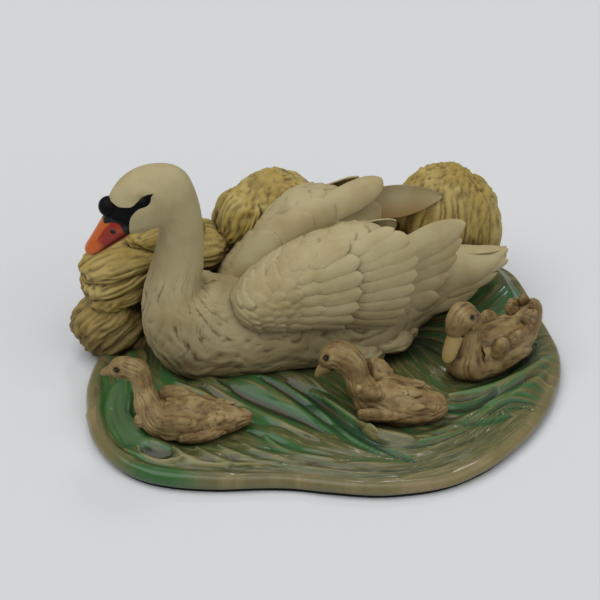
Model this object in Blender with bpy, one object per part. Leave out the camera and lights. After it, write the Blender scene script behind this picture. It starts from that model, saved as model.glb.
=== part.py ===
"""A swan with three cygnets on a carved water base with rocks: one resin casting on a felt pad.

The swan faces -X. Its middle plane is parallel to XZ at y = SWAN_Y. Z is up from the table,
and the origin lies on the table under the middle of the base. All lengths are in metres.
"""

import math

import bmesh
import bpy
from mathutils import Matrix, Vector

# Base and pad
BASE_LENGTH = 0.1892
BASE_DEPTH = 0.1418
FELT_THICKNESS = 0.0010
FELT_INSET = 0.0020
GLUE_LINE = 0.0003
WATER_LEVEL = 0.0078
RIM_ROUNDING = 0.0026
BASE_UNDERSIDE = FELT_THICKNESS + GLUE_LINE
SWELL_HEIGHT = 0.0165
SWELL_PLACE = (0.0620, 0.0270)
SWELL_REACH = 0.0275
CREST_RADIUS = 0.0026
SHARE_KEPT = 0.80

# Swan
SWAN_Y = 0.023
BLADE_THICKNESS = 0.0009
BLADE_SIDES = 6

# Base outline, as shares of half the base's length and depth, going round from the left end
OUTLINE = [
    (-0.996, 0.03), (-0.976, -0.28), (-0.88, -0.515), (-0.675, -0.67), (-0.443, -0.752), (-0.232, -0.845),
    (-0.01, -0.966), (0.21, -1.0), (0.45, -0.93), (0.66, -0.746), (0.86, -0.473), (0.99, -0.085),
    (0.996, 0.225), (0.897, 0.577), (0.633, 0.887), (0.21, 0.99), (-0.264, 0.972), (-0.633, 0.796),
    (-0.897, 0.465),
]
OUTLINE_STEPS = 3

# Wave crests on the water: plan points and the share of CREST_RADIUS at each
CRESTS = {
    "flank_ridge": [(-0.048, 0.002, 0.5), (-0.038, -0.011, 1.0), (-0.026, -0.026, 1.0),
                    (-0.014, -0.040, 0.4)],
    "long_ridge": [(-0.012, -0.006, 0.3), (-0.003, -0.022, 1.0), (0.005, -0.038, 1.0), (0.013, -0.049, 0.3)],
    "under_middle": [(0.002, -0.034, 0.4), (0.009, -0.043, 1.1), (0.019, -0.0475, 1.0), (0.030, -0.048, 0.4)],
    "breast_curl": [(-0.062, 0.008, 0.4), (-0.053, -0.001, 1.0), (-0.046, -0.007, 0.4)],
    "front_curl": [(-0.067, -0.030, 0.5), (-0.063, -0.037, 1.0), (-0.053, -0.043, 1.0),
                   (-0.045, -0.045, 0.4)],
    "second_curl": [(-0.051, -0.033, 0.5), (-0.044, -0.041, 1.0), (-0.032, -0.048, 0.4)],
    "third_curl": [(-0.036, -0.032, 0.5), (-0.028, -0.042, 1.0), (-0.013, -0.052, 0.4)],
    "rim_left": [(-0.086, 0.018, 0.5), (-0.090, 0.000, 1.0), (-0.088, -0.020, 1.0), (-0.078, -0.036, 1.0),
                 (-0.058, -0.046, 0.5)],
    "rim_front": [(0.006, -0.064, 0.4), (0.024, -0.0655, 1.0), (0.042, -0.060, 1.0), (0.060, -0.049, 0.4)],
    "right_crest": [(0.038, -0.028, 0.4), (0.056, -0.0275, 1.2), (0.074, -0.0215, 1.4), (0.087, -0.013, 1.2),
                    (0.091, -0.006, 0.5)],
    "right_stroke": [(0.046, -0.037, 0.4), (0.062, -0.035, 1.0), (0.078, -0.026, 0.4)],
    "swell_line": [(0.052, 0.014, 0.3), (0.068, 0.016, 1.0), (0.082, 0.016, 0.9), (0.089, 0.010, 0.3)],
}

# Body and tail stations along X: x, middle z, half height, half width
BODY_STATIONS = [
    (-0.0640, 0.0200, 0.0060, 0.0060), (-0.0585, 0.0205, 0.0130, 0.0115), (-0.0480, 0.0210, 0.0165, 0.0165),
    (-0.0340, 0.0215, 0.0180, 0.0195), (-0.0160, 0.0215, 0.0185, 0.0225), (0.0020, 0.0215, 0.0185, 0.0250),
    (0.0200, 0.0225, 0.0185, 0.0265), (0.0340, 0.0235, 0.0175, 0.0230), (0.0460, 0.0255, 0.0150, 0.0180),
    (0.0560, 0.0275, 0.0125, 0.0145), (0.0650, 0.0288, 0.0098, 0.0110), (0.0725, 0.0305, 0.0066, 0.0078),
    (0.0780, 0.0322, 0.0036, 0.0046), (0.0800, 0.0335, 0.0012, 0.0018),
]
BODY_SIDES = 16

# Breast, neck and head stations down from the bill: x, z, half depth along the swan, half width
NECK_STATIONS = [
    (-0.0790, 0.0745, 0.0030, 0.0026), (-0.0762, 0.0770, 0.0062, 0.0052), (-0.0715, 0.0808, 0.0092, 0.0076),
    (-0.0650, 0.0838, 0.0112, 0.0090), (-0.0585, 0.0842, 0.0122, 0.0094), (-0.0535, 0.0812, 0.0118, 0.0090),
    (-0.0508, 0.0752, 0.0098, 0.0082), (-0.0504, 0.0680, 0.0084, 0.0078), (-0.0518, 0.0570, 0.0093, 0.0084),
    (-0.0543, 0.0460, 0.0107, 0.0098), (-0.0545, 0.0360, 0.0124, 0.0122), (-0.0525, 0.0270, 0.0146, 0.0150),
    (-0.0500, 0.0180, 0.0158, 0.0162), (-0.0480, 0.0090, 0.0145, 0.0145), (-0.0470, 0.0040, 0.0125, 0.0125),
]
NECK_SIDES = 14

# Bill stations from the head to the tip: x, z, half depth, half width
BILL_STATIONS = [
    (-0.0734, 0.0746, 0.0056, 0.0044), (-0.0770, 0.0715, 0.0050, 0.0043), (-0.0806, 0.0683, 0.0038, 0.0039),
    (-0.0836, 0.0657, 0.0027, 0.0035), (-0.0856, 0.0641, 0.0017, 0.0026), (-0.0864, 0.0635, 0.0006, 0.0011),
]
KNOB_CENTRE = (-0.0770, 0.0820)
KNOB_RADIUS = 0.0038

# Wing stations along X: x, lowest z, highest z, nearest and furthest distance from the middle plane
WING_STATIONS = [
    (-0.0400, 0.0365, 0.0400, 0.0080, 0.0160), (-0.0365, 0.0320, 0.0428, 0.0035, 0.0210),
    (-0.0290, 0.0290, 0.0470, 0.0020, 0.0255), (-0.0180, 0.0280, 0.0558, 0.0020, 0.0282),
    (-0.0050, 0.0273, 0.0646, 0.0020, 0.0296), (0.0080, 0.0252, 0.0682, 0.0022, 0.0296),
    (0.0190, 0.0222, 0.0682, 0.0036, 0.0282), (0.0250, 0.0218, 0.0650, 0.0055, 0.0262),
    (0.0290, 0.0250, 0.0570, 0.0085, 0.0235), (0.0314, 0.0320, 0.0460, 0.0125, 0.0195),
]
WING_SIDES = 18
SIDES = {"near": -1.0, "far": 1.0}

# Feathers on the outer face of a wing, from the side: root x, z, tip x, z, width
SECONDARIES = [
    (0.0020, 0.0585, 0.0295, 0.0684, 0.0084), (0.0040, 0.0550, 0.0326, 0.0628, 0.0086),
    (0.0040, 0.0510, 0.0344, 0.0560, 0.0088), (0.0040, 0.0470, 0.0346, 0.0490, 0.0084),
    (0.0040, 0.0435, 0.0334, 0.0424, 0.0078), (0.0040, 0.0405, 0.0318, 0.0368, 0.0072),
    (0.0030, 0.0375, 0.0296, 0.0318, 0.0068), (0.0010, 0.0350, 0.0272, 0.0270, 0.0064),
    (-0.0010, 0.0326, 0.0242, 0.0230, 0.0062),
]
GREATER_COVERTS = [
    (-0.0120, 0.0580, 0.0086, 0.0652, 0.0074), (-0.0100, 0.0540, 0.0106, 0.0596, 0.0078),
    (-0.0090, 0.0495, 0.0112, 0.0536, 0.0080), (-0.0080, 0.0454, 0.0106, 0.0474, 0.0078),
    (-0.0080, 0.0414, 0.0094, 0.0414, 0.0074), (-0.0090, 0.0380, 0.0076, 0.0360, 0.0070),
    (-0.0110, 0.0348, 0.0050, 0.0314, 0.0064),
]
RIDGE_FEATHERS = [
    (-0.0250, 0.0456, -0.0052, 0.0632, 0.0065), (-0.0150, 0.0540, 0.0058, 0.0660, 0.0068),
    (-0.0040, 0.0605, 0.0186, 0.0678, 0.0072),
]
# The same on the inner face, where the long feathers lie along the wing's top
INNER_FEATHERS = [
    (-0.0320, 0.0420, -0.0120, 0.0570, 0.0100), (-0.0240, 0.0450, 0.0012, 0.0610, 0.0150),
    (-0.0120, 0.0510, 0.0100, 0.0645, 0.0150), (-0.0010, 0.0550, 0.0315, 0.0670, 0.0150),
]
# Long wing-tip feathers clear of the wing: start and end x and z, start and end distance from the swan's
# middle plane, width
PRIMARIES = {
    "near": [
        (0.0140, 0.0440, 0.0570, 0.0576, 0.0170, 0.0110, 0.0150),
        (0.0140, 0.0390, 0.0576, 0.0514, 0.0180, 0.0120, 0.0150),
        (0.0140, 0.0340, 0.0564, 0.0450, 0.0190, 0.0130, 0.0140),
        (0.0140, 0.0290, 0.0520, 0.0376, 0.0200, 0.0145, 0.0130),
        (0.0140, 0.0250, 0.0450, 0.0300, 0.0210, 0.0165, 0.0120),
    ],
    "far": [
        (0.0140, 0.0560, 0.0586, 0.0546, 0.0150, 0.0135, 0.0170),
        (0.0140, 0.0480, 0.0540, 0.0480, 0.0170, 0.0155, 0.0140),
        (0.0140, 0.0400, 0.0500, 0.0410, 0.0180, 0.0165, 0.0140),
    ],
}
PRIMARY_TILT = {"near": 0.25, "far": -0.50}

# Soft feathers of the flank, from the side: root x, z, tip x, z, width, distance out
FLANK_FEATHERS = [
    (-0.0440, 0.0220, -0.0300, 0.0180, 0.0130, 0.0160), (-0.0330, 0.0210, -0.0160, 0.0180, 0.0140, 0.0185),
    (-0.0180, 0.0210, 0.0020, 0.0180, 0.0140, 0.0215), (-0.0020, 0.0200, 0.0190, 0.0170, 0.0140, 0.0240),
    (0.0120, 0.0200, 0.0310, 0.0165, 0.0150, 0.0235), (0.0240, 0.0260, 0.0430, 0.0220, 0.0140, 0.0190),
]
# Tail feathers: root x, z, tip x, z, width, distance to the side
TAIL_FEATHERS = [
    (0.0440, 0.0374, 0.0798, 0.0354, 0.0095, -0.0032), (0.0440, 0.0374, 0.0798, 0.0354, 0.0095, 0.0032),
    (0.0440, 0.0335, 0.0770, 0.0316, 0.0100, -0.0068), (0.0440, 0.0335, 0.0770, 0.0316, 0.0100, 0.0068),
]

# Rocks: middle, half sizes and tilt of the layers about Y in degrees
ROCKS = {
    "left_top": ((-0.0520, 0.0500, 0.0495), (0.0170, 0.0100, 0.0056), -5.0),
    "left_slab_upper": ((-0.0705, 0.0465, 0.0426), (0.0165, 0.0115, 0.0049), -15.0),
    "left_slab_middle": ((-0.0700, 0.0460, 0.0370), (0.0175, 0.0125, 0.0046), -17.0),
    "left_slab_lower": ((-0.0685, 0.0455, 0.0315), (0.0175, 0.0125, 0.0048), -17.0),
    "left_foot": ((-0.0755, 0.0450, 0.0145), (0.0155, 0.0130, 0.0135), -30.0),
    "left_toe": ((-0.0640, 0.0440, 0.0085), (0.0120, 0.0120, 0.0085), 10.0),
    "left_ledge": ((-0.0430, 0.0510, 0.0410), (0.0170, 0.0120, 0.0095), 4.0),
    "left_heart": ((-0.0520, 0.0490, 0.0200), (0.0240, 0.0120, 0.0190), 0.0),
    "middle_boulder": ((-0.0080, 0.0570, 0.0450), (0.0195, 0.0125, 0.0205), -24.0),
    "middle_lump": ((-0.0215, 0.0540, 0.0480), (0.0095, 0.0110, 0.0130), 14.0),
    "middle_foot": ((-0.0140, 0.0560, 0.0180), (0.0260, 0.0120, 0.0180), 0.0),
    "right_boulder": ((0.0650, 0.0490, 0.0320), (0.0225, 0.0160, 0.0300), 8.0),
    "right_foot": ((0.0420, 0.0540, 0.0200), (0.0230, 0.0120, 0.0200), 0.0),
}
ROCK_SEGMENTS = 16
ROCK_RINGS = 10
ROCK_LOWEST = BASE_UNDERSIDE + 0.0012

# Cygnets: a spine from the face to the tail, as x, y, z, half height, half width and bearing in degrees,
# the bill's spine in the same terms, and the wing tufts, as share of the spine, distance out, rise,
# half length, half height and tilt in degrees
CYGNETS = {
    "leading_cygnet": {
        "spine": [
            (-0.0840, -0.0046, 0.0286, 0.0016, 0.0018, -28.0),
            (-0.0810, -0.0060, 0.0300, 0.0043, 0.0042, -28.0),
            (-0.0782, -0.0072, 0.0304, 0.0051, 0.0047, -28.0),
            (-0.0754, -0.0084, 0.0296, 0.0053, 0.0048, -26.0),
            (-0.0734, -0.0106, 0.0238, 0.0044, 0.0045, -20.0),
            (-0.0726, -0.0146, 0.0168, 0.0054, 0.0058, -14.0),
            (-0.0650, -0.0188, 0.0124, 0.0082, 0.0090, -14.0),
            (-0.0590, -0.0202, 0.0124, 0.0086, 0.0096, -13.0),
            (-0.0500, -0.0223, 0.0122, 0.0073, 0.0082, -13.0),
            (-0.0420, -0.0244, 0.0126, 0.0042, 0.0050, -14.0),
            (-0.0364, -0.0262, 0.0134, 0.0009, 0.0016, -14.0),
        ],
        "bill": [
            (-0.0820, -0.0052, 0.0290, 0.0022, 0.0024, -28.0),
            (-0.0864, -0.0030, 0.0272, 0.0012, 0.0020, -28.0),
            (-0.0876, -0.0024, 0.0266, 0.0005, 0.0011, -28.0),
        ],
        "tufts": [
            (0.60, 0.0082, 0.0030, 0.0095, 0.0048, -12.0),
            (0.72, 0.0084, -0.0012, 0.0090, 0.0030, 6.0),
        ],
    },
    "middle_cygnet": {
        "spine": [
            (-0.0026, -0.0170, 0.0246, 0.0018, 0.0020, -42.0),
            (0.0004, -0.0180, 0.0262, 0.0050, 0.0050, -42.0),
            (0.0030, -0.0188, 0.0264, 0.0059, 0.0058, -40.0),
            (0.0056, -0.0200, 0.0250, 0.0050, 0.0055, -38.0),
            (0.0074, -0.0228, 0.0188, 0.0050, 0.0058, -32.0),
            (0.0110, -0.0272, 0.0138, 0.0076, 0.0092, -30.0),
            (0.0155, -0.0296, 0.0136, 0.0084, 0.0104, -29.0),
            (0.0230, -0.0335, 0.0129, 0.0077, 0.0095, -28.0),
            (0.0300, -0.0370, 0.0126, 0.0052, 0.0064, -28.0),
            (0.0345, -0.0393, 0.0141, 0.0030, 0.0044, -28.0),
            (0.0370, -0.0406, 0.0154, 0.0009, 0.0020, -28.0),
        ],
        "bill": [
            (-0.0010, -0.0178, 0.0244, 0.0026, 0.0028, -42.0),
            (-0.0047, -0.0164, 0.0218, 0.0018, 0.0026, -42.0),
            (-0.0070, -0.0156, 0.0196, 0.0006, 0.0013, -42.0),
        ],
        "tufts": [
            (0.53, 0.0082, 0.0038, 0.0066, 0.0060, 12.0),
            (0.66, 0.0094, -0.0014, 0.0082, 0.0034, 16.0),
        ],
    },
    "trailing_cygnet": {
        "spine": [
            (0.0442, -0.0174, 0.0276, 0.0018, 0.0024, 40.0),
            (0.0462, -0.0156, 0.0306, 0.0054, 0.0056, 40.0),
            (0.0486, -0.0138, 0.0316, 0.0063, 0.0062, 38.0),
            (0.0512, -0.0124, 0.0304, 0.0053, 0.0060, 34.0),
            (0.0524, -0.0130, 0.0232, 0.0056, 0.0064, 28.0),
            (0.0536, -0.0144, 0.0152, 0.0082, 0.0088, 25.0),
            (0.0580, -0.0126, 0.0138, 0.0094, 0.0102, 25.0),
            (0.0670, -0.0084, 0.0143, 0.0093, 0.0105, 25.0),
            (0.0760, -0.0042, 0.0162, 0.0074, 0.0086, 25.0),
            (0.0825, -0.0010, 0.0200, 0.0044, 0.0058, 25.0),
            (0.0864, 0.0008, 0.0230, 0.0012, 0.0022, 25.0),
        ],
        "bill": [
            (0.0454, -0.0164, 0.0276, 0.0032, 0.0036, 40.0),
            (0.0414, -0.0198, 0.0220, 0.0018, 0.0036, 44.0),
            (0.0396, -0.0214, 0.0194, 0.0004, 0.0014, 44.0),
        ],
        "tufts": [
            (0.58, 0.0094, 0.0026, 0.0056, 0.0086, 4.0),
            (0.74, 0.0074, 0.0042, 0.0074, 0.0054, -24.0),
        ],
    },
}
CYGNET_SIDES = 10
TUFT_THICKNESS = 0.0028


def clear_scene():
    for obj in list(bpy.data.objects):
        bpy.data.objects.remove(obj, do_unlink=True)


def add_collection(name):
    collection = bpy.data.collections.new(name)
    bpy.context.scene.collection.children.link(collection)
    return collection


def make_material(name, colour, roughness):
    material = bpy.data.materials.new(name)
    material.use_nodes = True
    shader = material.node_tree.nodes["Principled BSDF"]
    shader.inputs["Base Color"].default_value = (*colour, 1.0)
    shader.inputs["Roughness"].default_value = roughness
    shader.inputs["Metallic"].default_value = 0.0
    return material


def add_object(name, data, collection):
    obj = bpy.data.objects.new(name, data)
    collection.objects.link(obj)
    return obj


def mesh_from(bm, name, collection):
    bmesh.ops.recalc_face_normals(bm, faces=bm.faces)
    mesh = bpy.data.meshes.new(name)
    bm.to_mesh(mesh)
    bm.free()
    return add_object(name, mesh, collection)


def loft(name, rings, collection):
    """A closed body through rings that have the same number of points."""
    bm = bmesh.new()
    rows = [[bm.verts.new(point) for point in ring] for ring in rings]
    sides = len(rows[0])
    for lower, upper in zip(rows, rows[1:]):
        for i in range(sides):
            j = (i + 1) % sides
            bm.faces.new((lower[i], lower[j], upper[j], upper[i]))
    bm.faces.new(rows[0])
    bm.faces.new(rows[-1])
    return mesh_from(bm, name, collection)


def oval(middle, across, upright, squareness, sides):
    """Points of a superellipse round middle; across and upright are its half axes as vectors."""
    points = []
    for i in range(sides):
        angle = 2.0 * math.pi * i / sides
        c = math.cos(angle)
        s = math.sin(angle)
        out = math.copysign(abs(c) ** (2.0 / squareness), c)
        up = math.copysign(abs(s) ** (2.0 / squareness), s)
        points.append(Vector(middle) + Vector(across) * out + Vector(upright) * up)
    return points


def between(stations, x):
    """The station values at x, in straight lines between the stations."""
    x = min(max(x, stations[0][0]), stations[-1][0])
    for low, high in zip(stations, stations[1:]):
        if x <= high[0]:
            share = (x - low[0]) / (high[0] - low[0])
            return [a + (b - a) * share for a, b in zip(low, high)]
    return list(stations[-1])


def outline_curve(name, inset, collection):
    """The base's outline as a smooth closed curve, moved in by inset."""
    curve = bpy.data.curves.new(name, "CURVE")
    curve.dimensions = "2D"
    curve.fill_mode = "BOTH"
    curve.resolution_u = OUTLINE_STEPS
    spline = curve.splines.new("BEZIER")
    spline.bezier_points.add(len(OUTLINE) - 1)
    for point, (x_share, y_share) in zip(spline.bezier_points, OUTLINE):
        x = x_share * (BASE_LENGTH / 2 - inset)
        y = y_share * (BASE_DEPTH / 2 - inset)
        point.co = (x, y, 0.0)
        point.handle_left_type = "AUTO"
        point.handle_right_type = "AUTO"
    spline.use_cyclic_u = True
    return add_object(name, curve, collection)


def curve_to_mesh(obj, collection):
    """Replaces a curve object with its welded mesh."""
    bpy.context.view_layer.update()
    graph = bpy.context.evaluated_depsgraph_get()
    mesh = bpy.data.meshes.new_from_object(obj.evaluated_get(graph))
    mesh.transform(obj.matrix_world)
    name = obj.name
    bpy.data.objects.remove(obj, do_unlink=True)
    bm = bmesh.new()
    bm.from_mesh(mesh)
    bmesh.ops.remove_doubles(bm, verts=bm.verts, dist=0.00001)
    bmesh.ops.recalc_face_normals(bm, faces=bm.faces)
    bm.to_mesh(mesh)
    bm.free()
    return add_object(name, mesh, collection)


def add_base(collection):
    """The slab of water with a rounded edge."""
    slab = outline_curve("water_slab", RIM_ROUNDING, collection)
    height = WATER_LEVEL - BASE_UNDERSIDE
    slab.data.bevel_depth = RIM_ROUNDING
    slab.data.bevel_resolution = 1
    slab.data.extrude = height / 2 - RIM_ROUNDING
    slab.location.z = BASE_UNDERSIDE + height / 2
    return curve_to_mesh(slab, collection)


def add_crests(collection):
    """Each wave crest is a tapered tube half sunk in the water."""
    for name, route in CRESTS.items():
        curve = bpy.data.curves.new(name, "CURVE")
        curve.dimensions = "3D"
        curve.bevel_depth = CREST_RADIUS
        curve.bevel_resolution = 0
        curve.use_fill_caps = True
        curve.resolution_u = 2
        spline = curve.splines.new("NURBS")
        spline.points.add(len(route) - 1)
        for point, (x, y, share) in zip(spline.points, route):
            point.co = (x, y, WATER_LEVEL + 0.25 * CREST_RADIUS, 1.0)
            point.radius = share
        spline.order_u = 3
        spline.use_endpoint_u = True
        curve_to_mesh(add_object(name, curve, collection), collection)


def add_ball(name, middle, half_sizes, collection, segments=16, rings=10):
    bm = bmesh.new()
    bmesh.ops.create_uvsphere(bm, u_segments=segments, v_segments=rings, radius=1.0)
    bmesh.ops.scale(bm, vec=half_sizes, verts=bm.verts)
    bmesh.ops.translate(bm, vec=middle, verts=bm.verts)
    return mesh_from(bm, name, collection)


def add_swell(collection):
    """The water rises in a low hill behind the last cygnet."""
    low = ROCK_LOWEST
    half_sizes = (SWELL_REACH, SWELL_REACH, SWELL_HEIGHT - low)
    swell = add_ball("swell", (*SWELL_PLACE, low), half_sizes, collection, 18, 8)
    for vert in swell.data.vertices:
        vert.co.z = max(vert.co.z, low)


def add_body(collection):
    rings = []
    for x, z, half_height, half_width in BODY_STATIONS:
        middle = (x, SWAN_Y, z)
        rings.append(oval(middle, (0, half_width, 0), (0, 0, half_height), 2.3, BODY_SIDES))
    loft("body", rings, collection)


def spine_rings(stations, sides):
    """Rings across a path in the swan's middle plane."""
    rings = []
    for i, (x, z, half_depth, half_width) in enumerate(stations):
        before = stations[max(i - 1, 0)]
        after = stations[min(i + 1, len(stations) - 1)]
        along = Vector((after[0] - before[0], 0, after[1] - before[1])).normalized()
        across = Vector((0, 1, 0)).cross(along)
        rings.append(oval((x, SWAN_Y, z), (0, half_width, 0), across * half_depth, 2.0, sides))
    return rings


def add_head_and_neck(collection):
    loft("neck", spine_rings(NECK_STATIONS, NECK_SIDES), collection)
    loft("bill", spine_rings(BILL_STATIONS, 10), collection)
    middle = (KNOB_CENTRE[0], SWAN_Y, KNOB_CENTRE[1])
    add_ball("knob", middle, (KNOB_RADIUS, KNOB_RADIUS * 0.9, KNOB_RADIUS), collection, 10, 6)


def wing_point(side, x, angle):
    """A point of the wing's skin. The angle is 0 at the outer face and 90 degrees at the ridge."""
    _, low, high, inner, outer = between(WING_STATIONS, x)
    c = math.cos(angle)
    s = math.sin(angle)
    out = (inner + outer) / 2 + math.copysign(abs(c) ** (2.0 / 2.3), c) * (outer - inner) / 2
    up = (low + high) / 2 + math.copysign(abs(s) ** (2.0 / 2.3), s) * (high - low) / 2
    return Vector((x, SWAN_Y + side * out, up))


def wing_angle(x, z, inner_face):
    """The angle of the skin point with this height on the outer or the inner face."""
    _, low, high, _, _ = between(WING_STATIONS, x)
    share = (z - (low + high) / 2) / ((high - low) / 2)
    share = min(max(share, -0.98), 0.98)
    angle = math.asin(math.copysign(abs(share) ** (2.3 / 2.0), share))
    return math.pi - angle if inner_face else angle


def wing_normal(side, x, angle):
    step = 0.0005
    along = wing_point(side, x + step, angle) - wing_point(side, x - step, angle)
    around = wing_point(side, x, angle + 0.03) - wing_point(side, x, angle - 0.03)
    normal = along.cross(around).normalized()
    middle = wing_point(side, x, 0.0) + wing_point(side, x, math.pi)
    return normal if normal.dot(wing_point(side, x, angle) - middle / 2) > 0 else -normal


BLADE_PROFILE = [(0.0, 0.5), (0.45, 1.0), (0.84, 0.84), (1.0, 0.25)]


def blade_rings(path, normals, width, lift):
    """Rings of a flat feather along a path; it rises by lift towards its tip."""
    rings = []
    for i, (share, wide) in enumerate(BLADE_PROFILE):
        before = path[max(i - 1, 0)]
        after = path[min(i + 1, len(path) - 1)]
        across = normals[i].cross(after - before).normalized() * (width / 2 * wide)
        middle = path[i] + normals[i] * (lift * share - BLADE_THICKNESS * 0.3)
        rings.append(oval(middle, across, normals[i] * BLADE_THICKNESS, 2.0, BLADE_SIDES))
    return rings


def wing_feather(name, side, feather, inner_face, lift, collection):
    root_x, root_z, tip_x, tip_z, width = feather
    root_angle = wing_angle(root_x, root_z, inner_face)
    tip_angle = wing_angle(min(tip_x, 0.026), tip_z, inner_face)
    path = []
    normals = []
    for share, _ in BLADE_PROFILE:
        x = root_x + (tip_x - root_x) * share
        angle = root_angle + (tip_angle - root_angle) * share
        on_skin = min(x, 0.022)
        point = wing_point(side, on_skin, angle)
        point.x = x
        path.append(point)
        normals.append(wing_normal(side, on_skin, angle))
    loft(name, blade_rings(path, normals, width, lift), collection)


def free_blade(name, start, end, normal, width, lift, collection):
    """A flat feather on a straight path, facing normal."""
    path = [start.lerp(end, share) for share, _ in BLADE_PROFILE]
    loft(name, blade_rings(path, [normal] * len(path), width, lift), collection)


def add_wings(collection):
    rows = {
        "secondary": (SECONDARIES, False, 0.0016),
        "greater_covert": (GREATER_COVERTS, False, 0.0018),
        "ridge_feather": (RIDGE_FEATHERS, False, 0.0014),
        "inner": (INNER_FEATHERS, True, 0.0005),
    }
    for word, side in SIDES.items():
        rings = []
        for station in WING_STATIONS:
            angles = [2.0 * math.pi * i / WING_SIDES for i in range(WING_SIDES)]
            rings.append([wing_point(side, station[0], angle) for angle in angles])
        loft(word + "_wing", rings, collection)
        for row, (feathers, inner_face, lift) in rows.items():
            for i, feather in enumerate(feathers):
                wing_feather(f"{word}_{row}_{i}", side, feather, inner_face, lift, collection)
        for i, (x0, z0, x1, z1, out0, out1, width) in enumerate(PRIMARIES[word]):
            start = Vector((x0, SWAN_Y + side * out0, z0))
            end = Vector((x1, SWAN_Y + side * out1, z1))
            normal = Vector((0.0, side, PRIMARY_TILT[word])).normalized()
            free_blade(f"{word}_primary_{i}", start, end, normal, width, 0.001, collection)
        for i, (x0, z0, x1, z1, width, out) in enumerate(FLANK_FEATHERS):
            start = Vector((x0, SWAN_Y + side * (out - 0.001), z0))
            end = Vector((x1, SWAN_Y + side * (out + 0.001), z1))
            free_blade(f"{word}_flank_{i}", start, end, Vector((0, side, 0)), width, 0.001, collection)
    for i, (x0, z0, x1, z1, width, out) in enumerate(TAIL_FEATHERS):
        start = Vector((x0, SWAN_Y + out, z0))
        end = Vector((x1, SWAN_Y + out, z1))
        normal = Vector((0.0, math.copysign(0.8, out), 0.6))
        free_blade(f"tail_{i}", start, end, normal, width, 0.001, collection)


def add_rocks(collection):
    """Each rock is a block with rounded corners and a few shallow hollows, tilted as its layers are."""
    for name, (middle, half_sizes, tilt) in ROCKS.items():
        tilted = Matrix.Rotation(math.radians(tilt), 4, "Y")
        phase = 3.1 * len(name)
        bm = bmesh.new()
        bmesh.ops.create_uvsphere(bm, u_segments=ROCK_SEGMENTS, v_segments=ROCK_RINGS, radius=1.0)
        for vert in bm.verts:
            unit = Vector([math.copysign(abs(v) ** 0.84, v) for v in vert.co])
            hollows = 0.04 * math.sin(5 * vert.co.x + phase) * math.cos(4 * vert.co.z + phase)
            unit *= 1.0 + hollows
            vert.co = tilted @ Vector([u * half for u, half in zip(unit, half_sizes)]) + Vector(middle)
            vert.co.z = max(vert.co.z, ROCK_LOWEST)
        bmesh.ops.remove_doubles(bm, verts=bm.verts, dist=0.00005)
        mesh_from(bm, f"rock_{name}", collection)


def bearing_rings(spine, sides):
    """Rings across a path; each keeps its wide side level, square to its bearing."""
    rings = []
    for i, (x, y, z, half_height, half_width, bearing) in enumerate(spine):
        before = Vector(spine[max(i - 1, 0)][:3])
        after = Vector(spine[min(i + 1, len(spine) - 1)][:3])
        along = (after - before).normalized()
        across = Vector((math.sin(math.radians(bearing)), -math.cos(math.radians(bearing)), 0.0))
        across = (across - along * across.dot(along)).normalized()
        upright = across.cross(along)
        rings.append(oval((x, y, z), across * half_width, upright * half_height, 2.0, sides))
    return rings


def add_cygnet(name, cygnet, collection):
    """Head, neck and body are one loft; the wings are tufts on its sides."""
    spine = cygnet["spine"]
    loft(name + "_body", bearing_rings(spine, CYGNET_SIDES), collection)
    loft(name + "_bill", bearing_rings(cygnet["bill"], 6), collection)
    for i, (share, out, rise, half_long, half_tall, tilt) in enumerate(cygnet["tufts"]):
        here = min(int(share * (len(spine) - 1)), len(spine) - 2)
        start = Vector(spine[here][:3])
        run = Vector(spine[here + 1][:3]) - start
        heading = math.atan2(run.y, run.x)
        middle = start + run * (share * (len(spine) - 1) - here)
        for word, side in SIDES.items():
            away = Vector((-math.sin(heading), math.cos(heading), 0.0)) * (side * out)
            turned = Matrix.Rotation(heading, 4, "Z") @ Matrix.Rotation(math.radians(-tilt), 4, "Y")
            half_sizes = (half_long, TUFT_THICKNESS, half_tall)
            tuft = add_ball(f"{name}_{word}_tuft_{i}", (0, 0, 0), half_sizes, collection, 8, 6)
            tuft.data.transform(Matrix.Translation(middle + away + Vector((0, 0, rise))) @ turned)


def outer_shell(mesh):
    """Keeps the largest connected surface, so that small voids between feathers are filled."""
    bm = bmesh.new()
    bm.from_mesh(mesh)
    bmesh.ops.triangulate(bm, faces=bm.faces)
    left = set(bm.faces)
    shells = []
    while left:
        start = left.pop()
        shell = {start}
        queue = [start]
        while queue:
            for edge in queue.pop().edges:
                if len(edge.link_faces) != 2:
                    continue
                for face in edge.link_faces:
                    if face not in shell:
                        shell.add(face)
                        queue.append(face)
        left -= shell
        shells.append(shell)
    largest = max(shells, key=len)
    loose = [face for face in bm.faces if face not in largest]
    bmesh.ops.delete(bm, geom=loose, context="FACES")
    bm.to_mesh(mesh)
    bm.free()


def fuse(name, base, pieces, collection, material):
    """One solid from the base and all the pieces that stand on it."""
    union = base.modifiers.new("fused", "BOOLEAN")
    union.operation = "UNION"
    union.solver = "EXACT"
    union.operand_type = "COLLECTION"
    union.collection = pieces
    union.use_self = True
    bpy.context.view_layer.update()
    graph = bpy.context.evaluated_depsgraph_get()
    mesh = bpy.data.meshes.new_from_object(base.evaluated_get(graph))
    for obj in list(pieces.objects) + [base]:
        bpy.data.objects.remove(obj, do_unlink=True)
    outer_shell(mesh)
    casting = add_object(name, mesh, collection)
    slivers = casting.modifiers.new("slivers", "DECIMATE")
    slivers.ratio = SHARE_KEPT
    bpy.context.view_layer.update()
    graph = bpy.context.evaluated_depsgraph_get()
    casting.data = bpy.data.meshes.new_from_object(casting.evaluated_get(graph))
    casting.modifiers.clear()
    casting.data.materials.clear()
    casting.data.materials.append(material)
    casting.data.shade_smooth()
    casting.data.set_sharp_from_angle(angle=math.radians(35))
    return casting


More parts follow.
